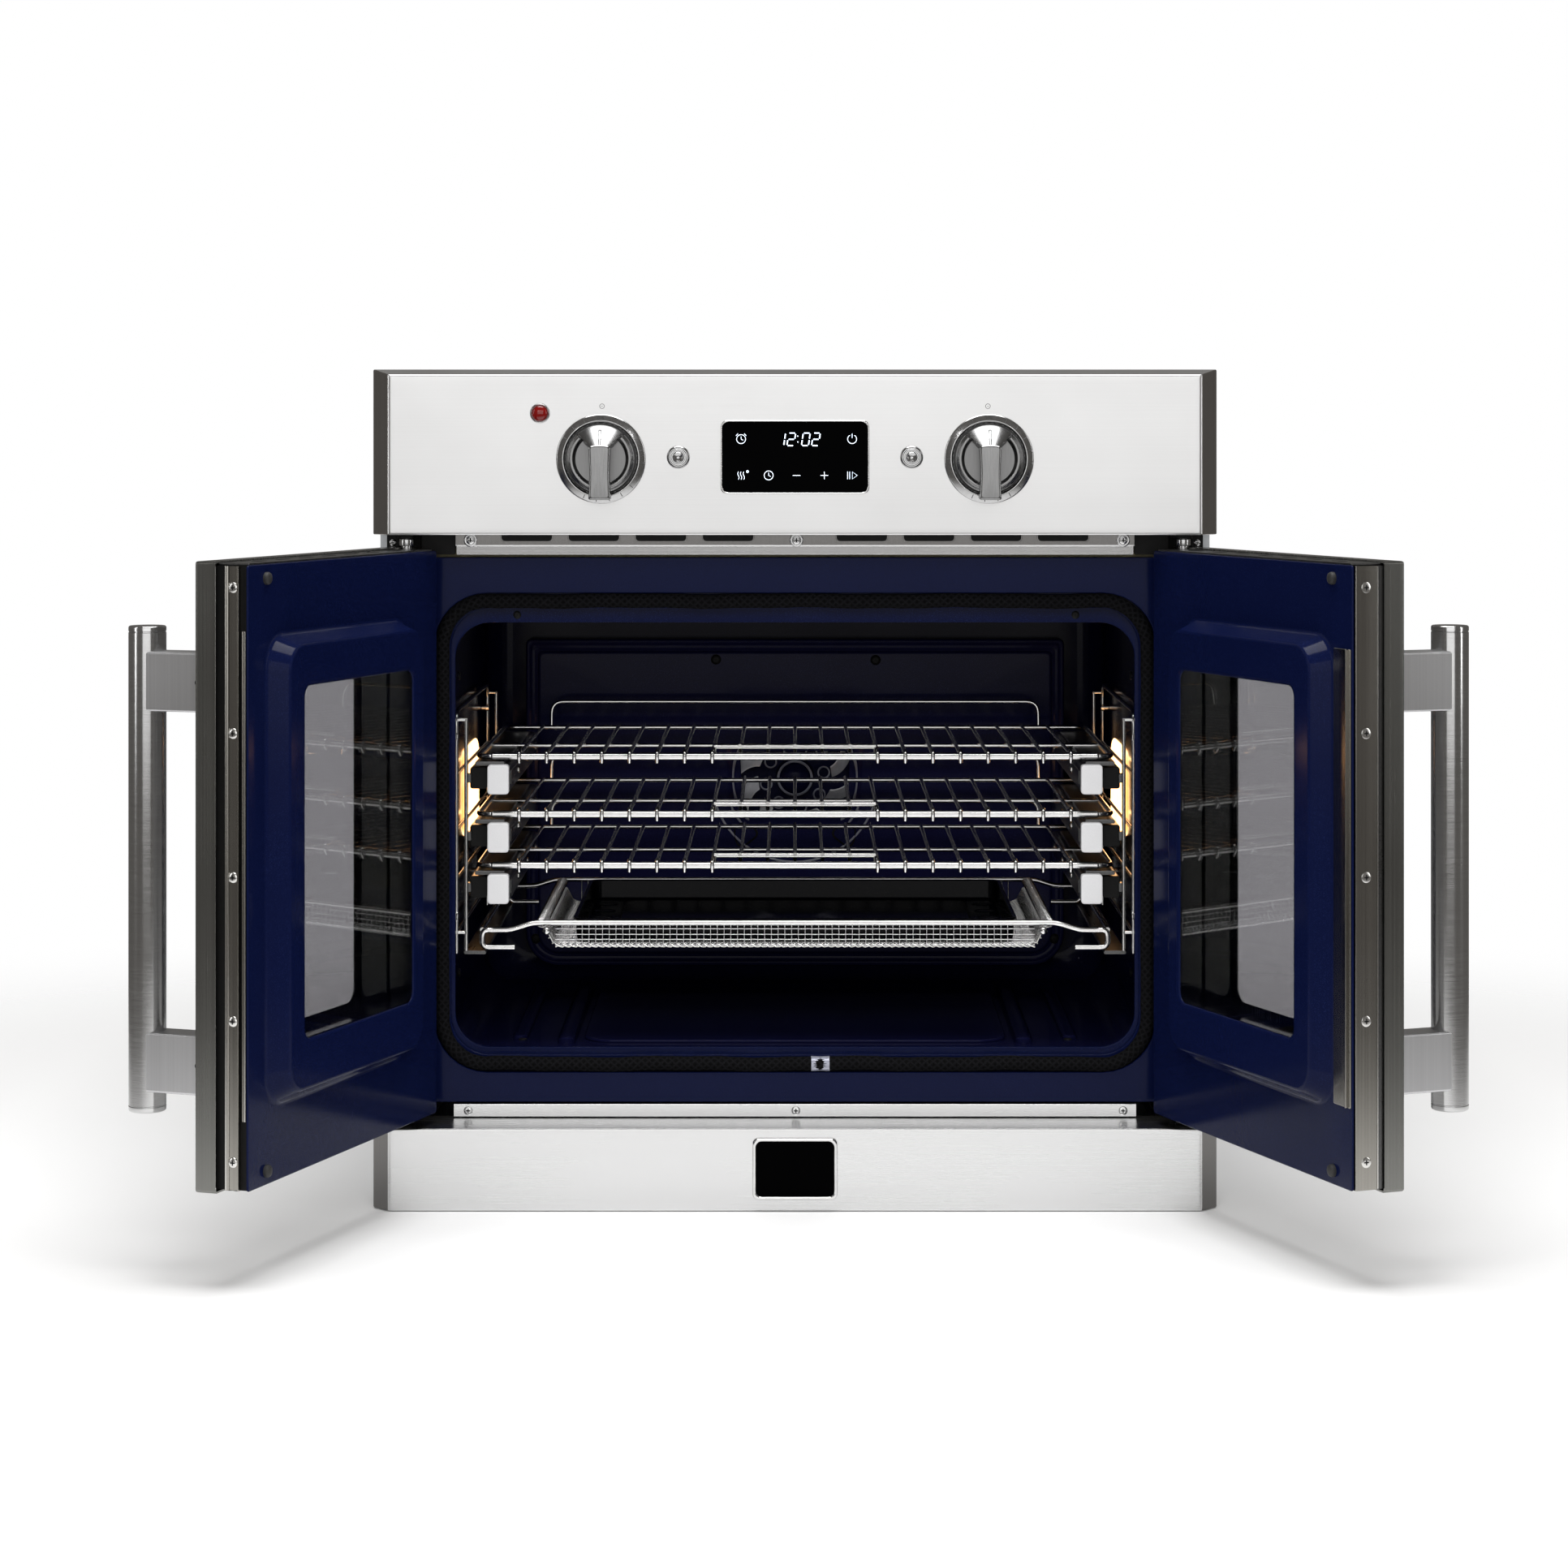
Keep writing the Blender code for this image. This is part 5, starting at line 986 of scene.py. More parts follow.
VANES = 10
fan = [vane(2 * math.pi * k / VANES, 0.038, 0.0585, 0.3, 0.3, 0.4185, 0.4345) for k in range(VANES)]
fan.append(turned([(0.059, 0.4355), (0.059, 0.4345), (0.02, 0.434), (0.018, 0.424), (0.012, 0.419),
                   (0.006, 0.4172), (0.0001, 0.4168)], (0.0, FAN_Z), sides=48, finish=1))
piece("fan_vanes", "convection_fan", "galvanised_steel", fan, [BLADE, ENAMEL_DARK], ["fan_wheel"])
ring_path = lay(circle(0.0, FAN_Z, 0.095, 72), 0.426)
fixed("ring_heater", [rod(ring_path, 0.004, (0, 1, 0), 12, True)], [HEATER], ["ring_element"], slot="heater_sheath")
route = []
for k in range(6):
    ends = (0.36, 0.07) if k % 2 == 0 else (0.07, 0.36)
    route += [(-0.23 + 0.092 * k, y, 0.532) for y in ends]
fixed("broil_heater", [rod(bent(route, 0.03, 8), 0.004, (0, 0, 1), 12)], [HEATER],
      ["broil_element"], smooth=60, slot="heater_sheath")

# %% [markdown]
# ## Lamps
# Two halogen lamps sit behind ribbed glass on the side walls. The glass itself glows here, hot in the middle
# of each rib, and lights the wires and corners round it with warm light.

# %% Lamp lenses
for side, name in SIDES:
    turn = np.linspace(0.0, math.pi / 2, 6)
    rows = [(rectangle((0.168, 0.302), (0.308, 0.392), 0.012, 8), side * 0.3235)]
    rows += [(rectangle((0.168 + d, 0.302 - d), (0.308 + d, 0.392 - d), 0.012, 8), side * x) for d, x in zip(
        0.01 * (1 - np.cos(turn)), 0.316 - 0.0032 * np.sin(turn))]
    fixed(f"lamp_glass_{name}", [loft(rows, "X")], [LENS], [f"lamp_lens_{name}"], slot="lamp_glass")

# %% [markdown]
# ## Rack ladders
# Bent wire ladders hook on studs in the side walls and carry the fixed halves of the slides. The outer wire
# goes up at the front, over the top and down at the rear as one bent bar, with rungs between.

# %% Ladders
HEIGHTS = {"upper": 0.398, "middle": 0.345, "lower": 0.298}
OUTER_X, INNER_X, WIRE_R = 0.3105, 0.3015, 0.0019
for side, name in SIDES:
    parts = [rod(bent([(OUTER_X, 0.03, 0.218), (OUTER_X, 0.03, 0.44), (OUTER_X, 0.36, 0.44),
                       (OUTER_X, 0.36, 0.218)], 0.014), 0.0021, (1, 0, 0), 10)]
    for y in (0.03, 0.36):
        parts.append(rod([(INNER_X, y, 0.218), (INNER_X, y, 0.433)], WIRE_R, (1, 0, 0), 8))
        for z in (0.237, 0.432):
            parts.append(rod([(INNER_X - 0.001, y, z), (OUTER_X + 0.001, y, z)], WIRE_R, (0, 1, 0), 8))
        for z in (0.252, 0.417):
            parts.append(turned([(0.003, 0.316), (0.003, 0.3125), (0.0042, 0.3118), (0.0042, 0.3088)],
                                (y, z), "X", 14))
    for z in (0.237, 0.286, 0.331, 0.382):
        parts.append(rod([(OUTER_X, 0.03, z), (OUTER_X, 0.361, z)], WIRE_R, (1, 0, 0), 8))
    for height in HEIGHTS.values():
        parts.append(pillow((0.2825, 0.2985), (height - 0.03, height - 0.01), (0.036, 0.372), radius=0.0025,
                            edge=0.0006, finish=lambda centres: 1 + (centres[:, 1] < 0.0365)))
        for y in (0.032, 0.361):
            parts.append(pillow((0.297, 0.303), (height - 0.024, height - 0.016), (y - 0.0012, y + 0.009 * (
                y < 0.1) + 0.0012), radius=0.0008, edge=0.0003, finish=1))
    parts.append(pillow((0.283, 0.3035), (0.2172, 0.2205), (0.028, 0.362), radius=0.0014, edge=0.0004, finish=1))
    if side < 0:
        parts = [flipped(part) for part in parts]
    fixed(f"ladder_wires_{name}", parts, [CHROME, SLIDE_STEEL, BLACK], [f"rack_ladder_{name}"], slot="bright_wire")

# %% [markdown]
# ## Sliding racks
# Each rack is welded plated wire: a rounded frame, a heavy front rail, twenty-one wires and a raised stop at
# the back. The outer wires wrap over the front rail; the middle five end on a short raised rail. Under each
# side runs a telescopic slide with a pale moulded cap on its front.

# %% Racks
WIRES, WIRE_PITCH = 21, 0.0253
SPAN, FRONT, REAR, STOP, RAIL_HALF = 0.291, 0.0335, 0.347, 0.3645, 0.0745
for name, h in HEIGHTS.items():
    frame_path = bent([(0.0, REAR, h), (-SPAN, REAR, h), (-SPAN, FRONT, h), (SPAN, FRONT, h), (SPAN, REAR, h),
                       (0.0, REAR, h)], 0.014)
    parts = [rod(frame_path, 0.0024, (0, 0, 1), 10)]
    ends = [(0.002, -0.279), (0.0035, -0.277), (0.0035, 0.277), (0.002, 0.279)]
    parts.append(turned(ends, (FRONT, h), "X", 14))
    parts.append(rod([(-SPAN, 0.184, h - 0.0035), (SPAN, 0.184, h - 0.0035)], 0.0022))
    parts.append(rod([(-RAIL_HALF, 0.047, h + 0.0078), (RAIL_HALF, 0.047, h + 0.0078)], 0.0026))
    for x in (-RAIL_HALF, RAIL_HALF):
        parts.append(rod(bent([(x, 0.0335, h), (x, 0.047, h + 0.0078), (x, 0.06, h + 0.001)], 0.006),
                         0.0021, (1, 0, 0), 8))
    for k in range(WIRES):
        x = (k - WIRES // 2) * WIRE_PITCH
        tail = (STOP, h + 0.001) if abs(x) < 0.246 else (REAR + 0.001, h + 0.001)
        if abs(k - WIRES // 2) <= 2:
            points = [(x, 0.0445, h + 0.0085), (x, 0.05, h + 0.0085), (x, 0.062, h + 0.0016), (x, *tail)]
        else:
            points = [(x, 0.0312, h - 0.005), (x, 0.0284, h - 0.001), (x, 0.029, h + 0.0042),
                      (x, 0.036, h + 0.0052), (x, 0.044, h + 0.0022), (x, *tail)]
        parts.append(rod(bent(points, 0.003, 3), WIRE_R, (1, 0, 0), 8))
    stop = [(-0.2455, STOP - 0.004, h), (-0.2455, STOP, h + 0.0245), (0.2455, STOP, h + 0.0245),
            (0.2455, STOP - 0.004, h)]
    parts.append(rod(bent(stop, 0.012, 6), 0.002, (0, 1, 0), 10))
    parts.append(rod([(-0.248, STOP - 0.001, h - 0.001), (0.248, STOP - 0.001, h - 0.001)], WIRE_R))
    slides = [pillow(x, (h - low, h - high), y, "Y", radius, edge, look) for x, low, high, y, radius, edge, look in (
        ((0.2615, 0.2805), 0.033, 0.0065, (0.0225, 0.372), 0.003, 0.0006, 1),
        ((0.2606, 0.2625), 0.026, 0.0135, (0.04, 0.35), 0.003, 0.0006, 1),
        ((0.2613, 0.2809), 0.0332, 0.0062, (0.015, 0.026), 0.003, 0.0012, 2),
        ((0.266, 0.293), 0.0078, 0.004, (0.026, 0.352), 0.0012, 0.0004, 1))]
    for y in (0.12, 0.235, 0.345):
        slides.append(turned([(0.0034, 0.262), (0.0034, 0.2598), (0.0022, 0.2588), (0.0002, 0.2586)],
                             (y, h - 0.02), "X", 16, 3))
    parts += both(slides)
    piece(f"rack_wires_{name}", f"{name}_rack", "bright_wire", parts, [CHROME, SLIDE_STEEL, CAP_GREY, SCREW_STEEL],
          [f"rack_{name}"])

# %% [markdown]
# ## Air-fry basket and its tray
# The basket is woven bright wire on a bent rod frame that hooks on the lowest rails. Only its front wires
# need their crimp: a path that goes in and out by half a millimetre at each crossing. A dark enamelled pan
# with oval slots lies inside.

# %% Basket
PITCH, MESH_R, FRONT_WIRES, SIDE_WIRES = 0.0062, 0.00062, 70, 49
parts = []
hook = [(-0.257, 0.2232), (-0.2868, 0.2232), (-0.2868, 0.2392), (-0.261, 0.2392), (-0.24, 0.2457),
        (0.24, 0.2457), (0.261, 0.2392), (0.2868, 0.2392), (0.2868, 0.2232), (0.257, 0.2232)]
for y in (0.031, 0.343):
    parts.append(rod(bent([(x, y, z) for x, z in hook], 0.006, 5), 0.0026, (0, 1, 0), 12))
for x, z in ((0.2868, 0.2392), (0.2335, 0.2453)):
    parts += both([rod([(x, 0.032, z), (x, 0.342, z)], 0.0022, (0, 0, 1), 10)])
rivet = [(0.0032, 0.033), (0.004, 0.028), (0.0034, 0.0262), (0.0014, 0.0252)]
parts += both([turned(rivet, (0.2275, 0.2385), sides=18)])
front_wire = [(0.0338, 0.2448), (0.035, 0.2412), (0.0338, 0.2368), (0.0351, 0.2325), (0.0336, 0.2282),
              (0.033, 0.2248), (0.0365, 0.2238), (0.337, 0.2244), (0.3402, 0.227), (0.3402, 0.2448)]
mesh = [rod([(x, y, z) for y, z in front_wire], MESH_R, (1, 0, 0), 5, finish=1)
        for x in (np.arange(FRONT_WIRES) - (FRONT_WIRES - 1) / 2) * PITCH]
side_wire = [(-0.2335, 0.2448), (-0.2302, 0.2385), (-0.228, 0.2375), (-0.2225, 0.2268), (-0.2165, 0.224)]
side_wire += [(-x, z) for x, z in side_wire[::-1]]
mesh += [rod([(x, y, z) for x, z in side_wire], 0.0009, (0, 1, 0), 5, finish=1)
         for y in 0.0395 + np.arange(SIDE_WIRES) * PITCH]
along = np.linspace(-0.22, 0.22, 142)
wave = np.cos((along / PITCH) * math.pi)
for z in (0.2398, 0.2347, 0.23):
    mesh.append(rod(np.stack([along, 0.0343 + 0.0006 * wave, z + 0 * along], axis=1), MESH_R, (0, 0, 1), 5, finish=1))
for phase in (-1, 1):
    mesh.append(rod(np.stack([along, 0.033 + phase * 0.001 * wave, 0.2246 + phase * 0.0012 * np.sin(
        along / PITCH * math.pi)], axis=1), 0.0011, (0, 0, 1), 6, finish=1))
coil = np.arange(SIDE_WIRES * 12) / 12.0
turned_by = 2 * math.pi * coil
mesh += both([rod(np.stack([0.233 + 0.005 * np.cos(turned_by), 0.0365 + PITCH * coil,
                            0.244 + 0.0036 * np.sin(turned_by)], axis=1), 0.0009, (0, 1, 0), 6, finish=1)])
for x, z in ((0.2318, 0.2412), (0.2288, 0.2362), (0.2258, 0.2312), (0.2225, 0.2262)):
    mesh += both([rod([(x, 0.035, z), (x, 0.3395, z)], MESH_R, (0, 0, 1), 5, finish=1)])
piece("basket_woven", "basket", "bright_wire", [*parts, *mesh], [CHROME, MESH_WIRE], ["air_fry_basket"], smooth=80)

# %% Tray


def tray_row(draw, z):
    """The pan's rounded outline drawn in, at a height."""
    return rectangle((-0.205 + draw, 0.205 - draw), (0.046 + draw, 0.33 - draw), max(0.014 - draw, 0.006), 6), z


rows = [tray_row(draw, z) for draw, z in (
    (0.006, 0.2265), (0.004, 0.2272), (0.003, 0.23), (0.0024, 0.2452), (0.0004, 0.2458), (0.0, 0.2468),
    (0.0008, 0.2476), (0.0036, 0.2474), (0.0046, 0.246), (0.0058, 0.2305), (0.0075, 0.2285))]
tray = [loft(rows, "Z")]
tray.append(pillow((-0.168, 0.168), (0.078, 0.3), (0.228, 0.2304), "Z", 0.012, 0.0016, steps=6))
for k in range(5):
    y = 0.09 + 0.049 * k
    # Each slot is a black plate on the pan's floor, ringed by a raised lip: painted shade in the opening.
    hole = pillow((0.176, 0.195), (y - 0.0065, y + 0.0065), (0.2284, 0.2288), "Z", 0.0065, 0.0001, finish=1)
    raised = [rectangle((0.1745 + d, 0.1965 - d), (y - 0.008 + d, y + 0.008 - d), 0.008 - d, 6) for d in (
        0.0, 0.0004, 0.001, 0.0015)]
    lip = loft(list(zip(raised, (0.2284, 0.2292, 0.2292, 0.2284))), "Z", ring=True)
    tray += both([hole, lip])
piece("tray_slotted", "basket", "black_frame", tray, [ENAMEL_TRAY, BLACK], ["crisping_tray"])

# %% [markdown]
# ## Doors
# A door is a sandwich: outer steel skin, a black core, two panes with a metal-lined tunnel between them, and
# an enamelled inner panel pressed into a plug that fills the cavity's mouth. All of it is modelled shut, with
# u running from the hinge pin to the free edge, then turned about the pin to where the door rests.

# %% Door placement
OPENED = {joint["name"].split("_")[0]: -joint["range_deg"][0] for joint in frame["joints"]
          if joint["name"].endswith("door_hinge")}
print("doors rest open by", OPENED, "degrees")


def hung(part, side):
    """A part from (u, y, z) to its place: x = -side * u from the pin, then turned by side * the open angle."""
    turn = side * math.radians(OPENED["left" if side < 0 else "right"])
    x, y = -side * part["points"][:, 0], part["points"][:, 1] - PIN_Y
    placed = np.stack([side * PIN_X + x * math.cos(turn) - y * math.sin(turn),
                       PIN_Y + x * math.sin(turn) + y * math.cos(turn), part["points"][:, 2]], axis=1)
    return {**part, "points": placed, "drawn": part["points"]}


def block(u, y, z, radius=0.001, edge=0.0004, finish=0):
    """A rounded block over spans of u, y and z, its long outline facing along y."""
    return pillow(u, z, y, radius=radius, edge=edge, finish=finish)


def pressed(u, z, corner, y, draw=0.0):
    """One row of a pressed panel: a rounded rectangle drawn in by a little, and its depth."""
    return rectangle((u[0] + draw, u[1] - draw), (z[0] + draw, z[1] - draw), max(corner - draw, 0.0008), 8), y


# %% Door shapes
DOOR_Z = (0.08, 0.592)
SKIN, INNER, WIDE = ((-0.029, 0.3475), DOOR_Z, 0.0025), ((-0.01, 0.3455), (0.083, 0.589), 0.003), (
    (0.072, 0.283), (0.194, 0.4905), 0.013)
BASE, FACE = ((0.046, 0.316), (0.146, 0.53), 0.028), ((0.054, 0.306), (0.156, 0.522), 0.022)
WINDOW, PANE = ((0.075, 0.28), (0.197, 0.4875), 0.01), ((0.0605, 0.2945), (0.1825, 0.502), 0.004)


def pressing(steps, finish=0):
    """A pressed sheet through (outline, y) or (outline, y, draw) steps, the last joined to the first."""
    return loft([pressed(*shape, *rest) for shape, *rest in steps], finish=finish, ring=True)


def door_skin():
    """Folded outer sheet: return flange, rounded front edge, face, window edge and back again."""
    rows = [(SKIN, -0.0333), (SKIN, -0.0503), (SKIN, -0.0515, 0.0004), (SKIN, -0.052, 0.0015),
            (WIDE, -0.052, -0.0009), (WIDE, -0.0518, -0.0002), (WIDE, -0.0512), (WIDE, -0.0505),
            (SKIN, -0.0505, 0.0016), (SKIN, -0.0333, 0.0015)]
    # Faces behind the front face wear the darker side steel: painted shade.
    return pressing(rows, lambda centres: np.where(centres[:, 1] < -0.0516, 3, 0))


def door_panel():
    """Pressed inner panel: flat border, sloping plug side with two rounded bends, plug face, window edge."""
    sides = []
    for t in np.linspace(0.12, 0.86, 5):
        u, z = [tuple(a + (b - a) * t for a, b in zip(BASE[k], FACE[k])) for k in range(2)]
        sides.append(((u, z, BASE[2] + (FACE[2] - BASE[2]) * t), -0.0045 + 0.018 * t))
    return pressing([(INNER, -0.006), (INNER, -0.0052), (INNER, -0.0047, 0.0003), (INNER, -0.0045, 0.001),
                     (BASE, -0.0045, -0.0035), (BASE, -0.0042, -0.0012), (BASE, -0.0035, 0.0001), *sides,
                     (FACE, 0.0126, -0.0008), (FACE, 0.0133, 0.0006), (FACE, 0.0135, 0.0022),
                     (WINDOW, 0.0135, -0.004), (WINDOW, 0.0133, -0.0012), (WINDOW, 0.0126, -0.0002),
                     (WINDOW, 0.0118), (FACE, 0.0118, 0.002), (BASE, -0.006, 0.0016)])


def window_tunnel():
    """Metal lining between the panes, stepped in near the outer one, with a plain sill at the bottom."""
    return pressing([(PANE, *step) for step in (
        (-0.0455, -0.0002), (0.0072, -0.0002), (0.0072, 0.001), (-0.02, 0.001), (-0.0205, 0.0045),
        (-0.0455, 0.0045))])


def channel(section, z=(0.0836, 0.5884), finish=0):
    """A folded edge strip: its (u, y) section drawn up the door."""
    path = np.asarray(section, float)
    return skin(np.stack([np.stack([path[:, 0], path[:, 1], np.full(len(path), at)], axis=1) for at in z]), finish)


HANDLE_U, HANDLE_Y, HANDLE_R, HANDLE_Z = 0.315, -0.114, 0.0155, (0.137, 0.537)
POSTS_Z, POST_HALF_U, POST_HALF_Z = (0.179, 0.492), 0.014, 0.0245


def handle():
    """Brushed tube with turned end plugs, on two square posts that run into it, each with a set screw."""
    low, high = HANDLE_Z
    ends = [(0.006, 0.0), (0.0142, 0.0), (0.015, 0.0004), (HANDLE_R, 0.0014), (HANDLE_R, 0.0042),
            (0.015, 0.0046), (0.015, 0.0052), (HANDLE_R, 0.0056)]
    tube = [(r, low + d) for r, d in ends] + [(r, high - d) for r, d in ends[::-1]]
    parts = [turned(tube, (HANDLE_U, HANDLE_Y), "Z", 64)]
    for z in POSTS_Z:
        parts.append(pillow((HANDLE_U - POST_HALF_U, HANDLE_U + POST_HALF_U), (z - POST_HALF_Z, z + POST_HALF_Z),
                            (-0.11, -0.0522), radius=0.002, edge=0.0006, finish=1))
        parts.append(turned([(0.0022, HANDLE_U + 0.0136), (0.0022, HANDLE_U + 0.0142), (0.0012, HANDLE_U + 0.01425),
                             (0.0011, HANDLE_U + 0.0137)], (-0.06, z), "X", 16, 2))
    return parts


LEFT_EDGE = [(0.3428, -0.0254), (0.3462, -0.0254), (0.3468, -0.0248), (0.3468, -0.023), (0.346, -0.022),
             (0.3452, -0.0216), (0.3452, -0.0148), (0.346, -0.0142), (0.3468, -0.0138), (0.3468, -0.013),
             (0.3462, -0.0126), (0.3428, -0.0126)]
RIGHT_EDGE = [(0.3428, -0.0272), (0.3462, -0.0272), (0.3469, -0.0265), (0.3469, -0.0078), (0.3462, -0.0071),
              (0.3428, -0.0071)]

# %% Doors
for side, name in SIDES:
    body = f"{name}_door"

    def hang(piece_name, slot, parts, finishes, stands_for=(), **options):
        """One piece of this door, turned to where it rests."""
        return piece(f"{piece_name}_{name}", body, slot, [hung(part, side) for part in parts], finishes,
                     [f"{node_name}_{name}" for node_name in stands_for], **options)

    top = [block((-0.004, 0.3405), (-0.0345, -0.0065), (0.5882, 0.5906), 0.001, 0.0003, 1)]
    # Black plates in the door's top stand for its slots: painted shade in the openings.
    for k in range(7):
        u = 0.035 + 0.042 * k
        top.append(pillow((u, u + 0.02), (-0.0235, -0.0175), (0.59, 0.5908), "Z", 0.0028, 0.0001, 2))
    hang("skin_folded", "stainless_steel", [door_skin(), *top], [SHADED_SIDE_STEEL, SLIDE_STEEL, BLACK, DOOR_STEEL],
         ["door_skin"])
    bumper = [(0.0052, -0.0047), (0.0052, -0.0024), (0.0046, -0.001), (0.003, -0.0003), (0.0003, -0.0002)]
    parts = [door_panel()]
    for z in (0.5775, 0.0945):
        parts.append(turned(bumper, (0.315, z), sides=24, finish=1))
    hang("panel_pressed", "blue_enamel", parts, [ENAMEL_BLUE, RUBBER], ["door_panel"])
    hang("window_tunnel", "stainless_steel", [window_tunnel()], [TUNNEL])
    (u_low, u_high), (z_low, z_high), corner = PANE
    for pane_name, span in (("outer_glass", (-0.05, -0.046)), ("inner_glass", (0.0075, 0.0115))):
        hang(f"pane_{pane_name}", "door_glass", [block((u_low, u_high), span, (z_low, z_high), 0.003, 0.0003)],
             [GLASS], [pane_name])
    edge = [channel(LEFT_EDGE if side < 0 else RIGHT_EDGE)]
    middle = -0.0181 if side < 0 else -0.0168
    seat = 0.3452 if side < 0 else 0.3467
    for z in (0.571, 0.453, 0.3366, 0.2202, 0.1061):
        edge += screw(middle, z, seat, 0.0044, 0.0016 if side < 0 else 0.0006, 1, 2, "X", 1)
    if side < 0:
        edge.append(channel([(0.3428, -0.0106), (0.3446, -0.0106), (0.345, -0.0102), (0.345, -0.009),
                             (0.3446, -0.0086), (0.3428, -0.0086)], (0.1396, 0.5357)))
    else:
        edge.append(channel([(0.3428, -0.033), (0.345, -0.033), (0.3454, -0.0326), (0.3454, -0.029),
                             (0.345, -0.0286), (0.3428, -0.0286)], finish=3))
    # Thin pale strips along the channel's lips are painted highlights.
    for u, y in ((0.347, -0.0336), (0.3466, -0.024)) if side < 0 else ((0.3458, -0.0279),):
        edge.append(block((u - 0.0006, u + 0.0004), (y - 0.0004, y + 0.0004), (0.084, 0.588), 0.0003, 0.0001, 4))
    # A painted highlight line on the left door's inner lip.
    if side < 0:
        edge.append(block((0.345, 0.3457), (-0.008, -0.007), (0.1396, 0.5357), 0.0003, 0.0001, 4))
    hang("edge_strip", "stainless_steel", edge, [EDGE_STEEL, SCREW_STEEL, BLACK, SLIDE_STEEL, PAINTED_EDGE_HIGHLIGHT],
         ["edge_channel"])
    hang("handle_bar", "stainless_steel", handle(), [BAR_STEEL, POST_STEEL, BLACK], ["handle"])
    if side > 0:
        plate = [block((0.3175, 0.3444), (-0.0046, -0.003), (0.15, 0.521), 0.001, 0.0004),
                 block((0.3392, 0.3414), (-0.0046, -0.0008), (0.15, 0.521), 0.0008, 0.0004)]
        piece("astragal_strip", body, "stainless_steel", [hung(part, side) for part in plate], [EDGE_STEEL],
                     ["astragal"])

# %% [markdown]
# ## Stage, light and camera
# A plain pale floor that fades out, a white surround for the camera, a dim one for reflections, a broad soft
# light in front and one overhead. The steel front mirrors the front light; the sides mirror the dim room, and
# the bent returns and the open doors' edges are also coloured darker than the front steel: painted shade.

# %% Floor
floor_mesh = bpy.data.meshes.new("floor")
floor_mesh.from_pydata([(-4, -4, 0), (4, -4, 0), (4, 4, 0), (-4, 4, 0)], [], [(0, 1, 2, 3)])
floor = bpy.data.objects.new("floor", floor_mesh)
bpy.context.scene.collection.objects.link(floor)
floor.location.z = -0.0005
pale = bpy.data.materials.new("floor_pale")
pale.use_nodes = True
tree = pale.node_tree
shader = tree.nodes["Principled BSDF"]
shader.inputs["Base Color"].default_value = (0.88, 0.88, 0.88, 1.0)
shader.inputs["Roughness"].default_value = 0.6
far = node(tree, "ShaderNodeVectorMath", {0: place_of(tree)}, operation="LENGTH").outputs["Value"]
fade = node(tree, "ShaderNodeMapRange", {"Value": far, "From Min": 0.75, "From Max": 1.9, "To Min": 1.0,
                                         "To Max": 0.0}, interpolation_type="SMOOTHERSTEP")
tree.links.new(fade.outputs[0], shader.inputs["Alpha"])
floor_mesh.materials.append(pale)
print("floor at", round(floor.location.z, 4), "m")

# %% Surround
world = bpy.data.worlds.new("surround")
world.use_nodes = True
tree = world.node_tree
tree.nodes.clear()
rays = tree.nodes.new("ShaderNodeLightPath").outputs
seen = node(tree, "ShaderNodeMath", {0: rays["Is Camera Ray"], 1: rays["Is Transmission Ray"]},
            operation="MAXIMUM").outputs[0]
colour = blend_colour(tree, seen, node(tree, "ShaderNodeRGB").outputs[0], node(tree, "ShaderNodeRGB").outputs[0])
dim, white = [made for made in tree.nodes if made.bl_idname == "ShaderNodeRGB"]
dim.outputs[0].default_value = (0.135, 0.128, 0.12, 1.0)
white.outputs[0].default_value = (1.0, 1.0, 1.0, 1.0)
background = node(tree, "ShaderNodeBackground", {"Color": colour})
output = tree.nodes.new("ShaderNodeOutputWorld")
tree.links.new(background.outputs[0], output.inputs["Surface"])
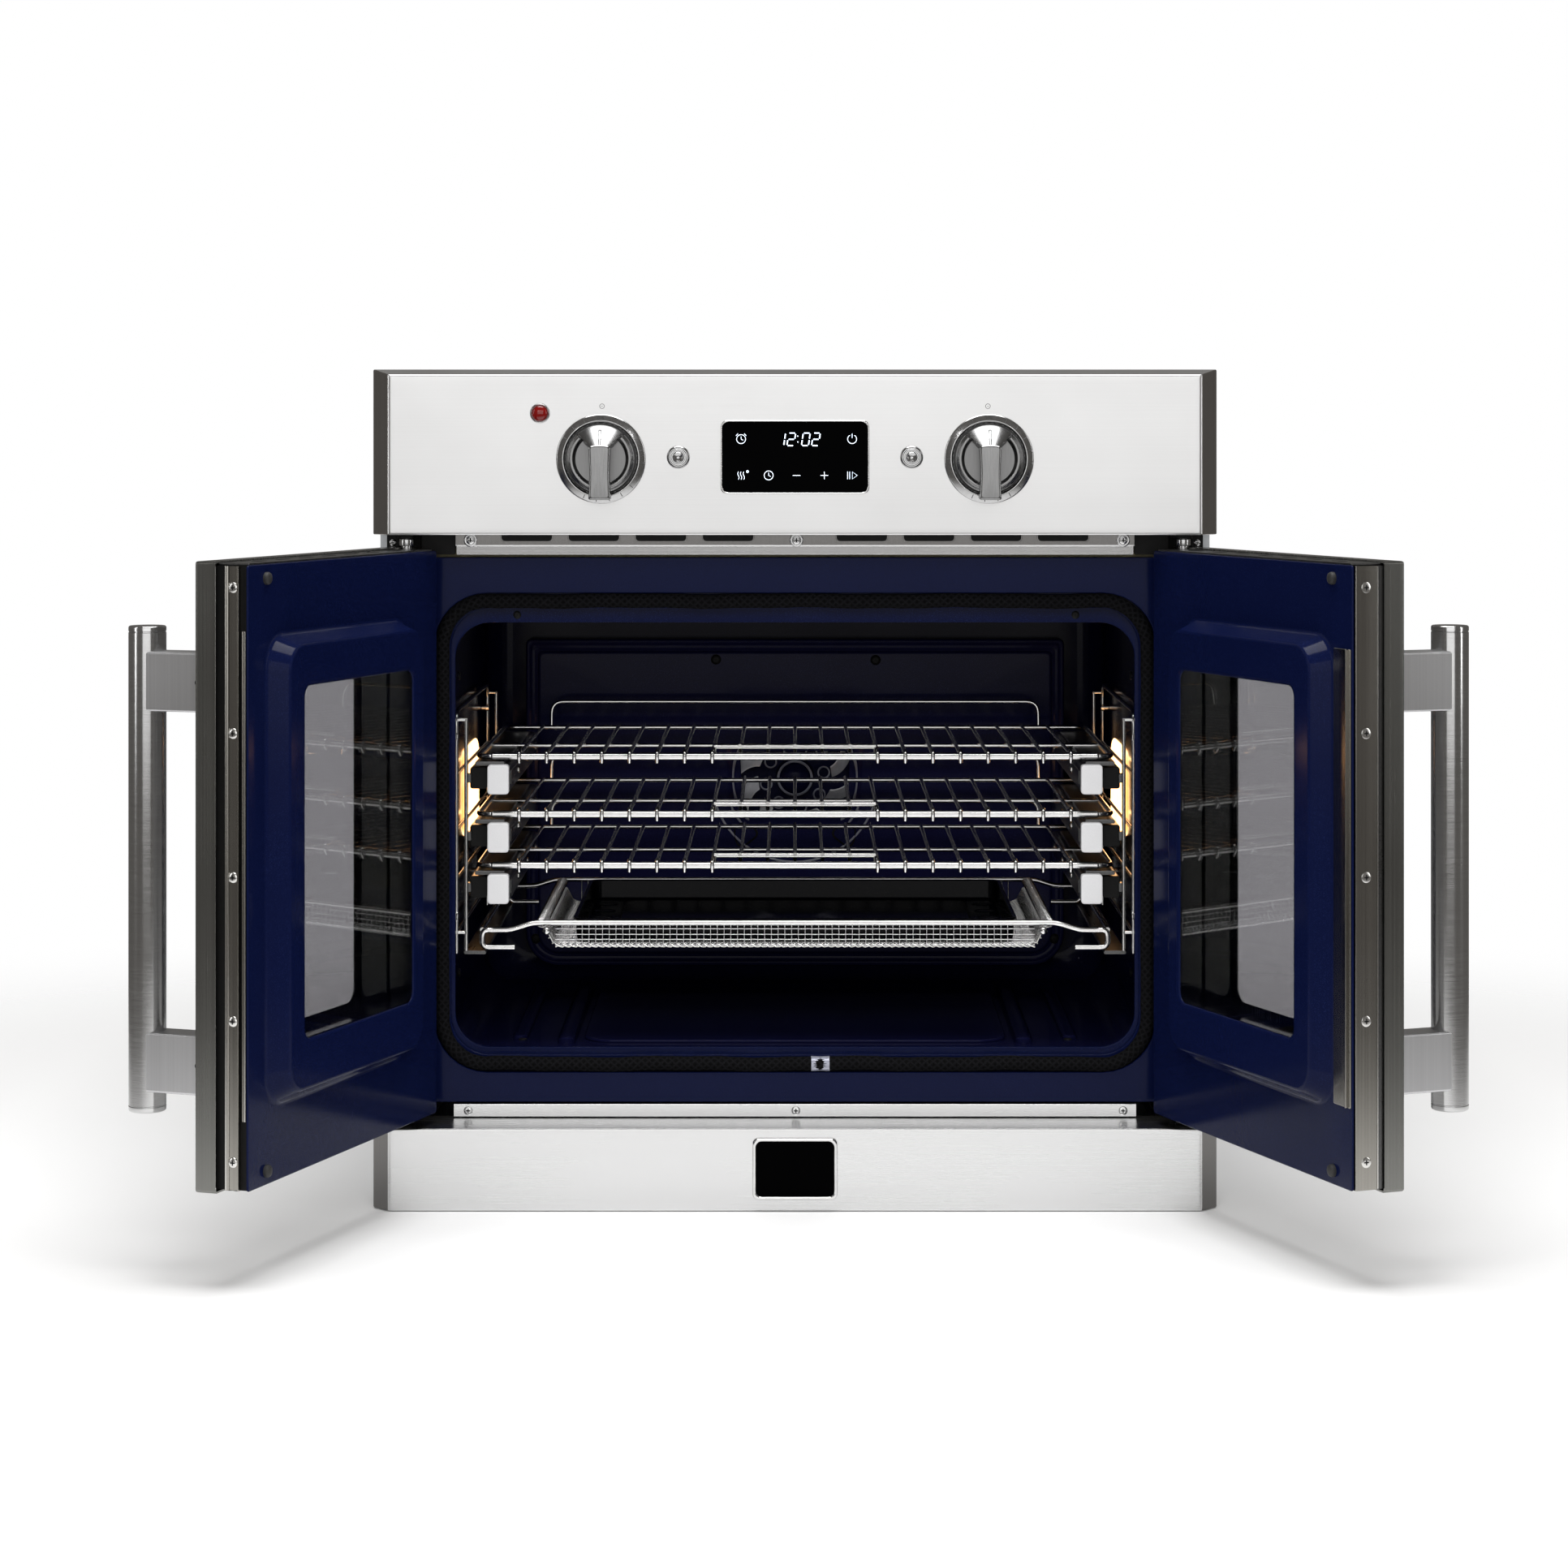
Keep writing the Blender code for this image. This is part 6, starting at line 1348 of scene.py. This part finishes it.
bpy.context.scene.world = world
print("surround:", world.name)

# %% Lights


def soft_light(name, place, aim, size, power, mirrored):
    """A rectangular soft light aimed at a point; mirrored says whether shiny surfaces reflect it."""
    lamp = bpy.data.lights.new(name, "AREA")
    lamp.shape = "RECTANGLE"
    lamp.size, lamp.size_y = size
    lamp.energy = power
    made = bpy.data.objects.new(name, lamp)
    bpy.context.scene.collection.objects.link(made)
    made.location = place
    made.rotation_euler = (Vector(aim) - Vector(place)).to_track_quat("-Z", "Y").to_euler()
    made.visible_glossy = mirrored
    made.visible_camera = False


AHEAD, LOW_AHEAD = (0.0, 0.0, 0.4), (0.0, 0.0, 0.3)
for name, place, aim, size, power in (
        ("front_card", (0.0, -5.2, 1.2), (0.0, 0.0, 0.65), (4.4, 2.4), 47.0),
        ("front_fill", (0.0, -4.0, 2.4), LOW_AHEAD, (2.4, 1.6), 85.0),
        ("front_bar", (0.0, -4.2, 2.35), LOW_AHEAD, (2.2, 0.35), 5.0),
        ("left_spark", (-1.6, -3.9, 2.3), AHEAD, (0.16, 0.16), 3.0),
        ("right_spark", (1.6, -3.9, 2.3), AHEAD, (0.16, 0.16), 3.0),
        ("overhead", (0.0, -0.6, 3.6), (0.0, -0.2, 0.0), (2.6, 2.2), 150.0),
        ("left_strip", (-3.4, -1.6, 1.4), AHEAD, (0.5, 2.4), 16.0),
        ("right_strip", (3.4, -1.6, 1.4), AHEAD, (0.5, 2.4), 16.0)):
    soft_light(name, place, aim, size, power, mirrored=name != "front_fill")
print("lights:", len(bpy.data.lights))

# %% Camera
eye = bpy.data.cameras.new("camera")
eye.sensor_width = 36.0
eye.lens = 82.27
eye.shift_x = -0.007
eye.shift_y = -0.2308
camera = bpy.data.objects.new("camera", eye)
bpy.context.scene.collection.objects.link(camera)
camera.location = (0.0, -3.255, 0.7048)
camera.rotation_euler = (math.radians(90.0), 0.0, 0.0)
bpy.context.scene.camera = camera
bpy.context.scene.view_settings.view_transform = "Standard"

print("camera at", tuple(camera.location))
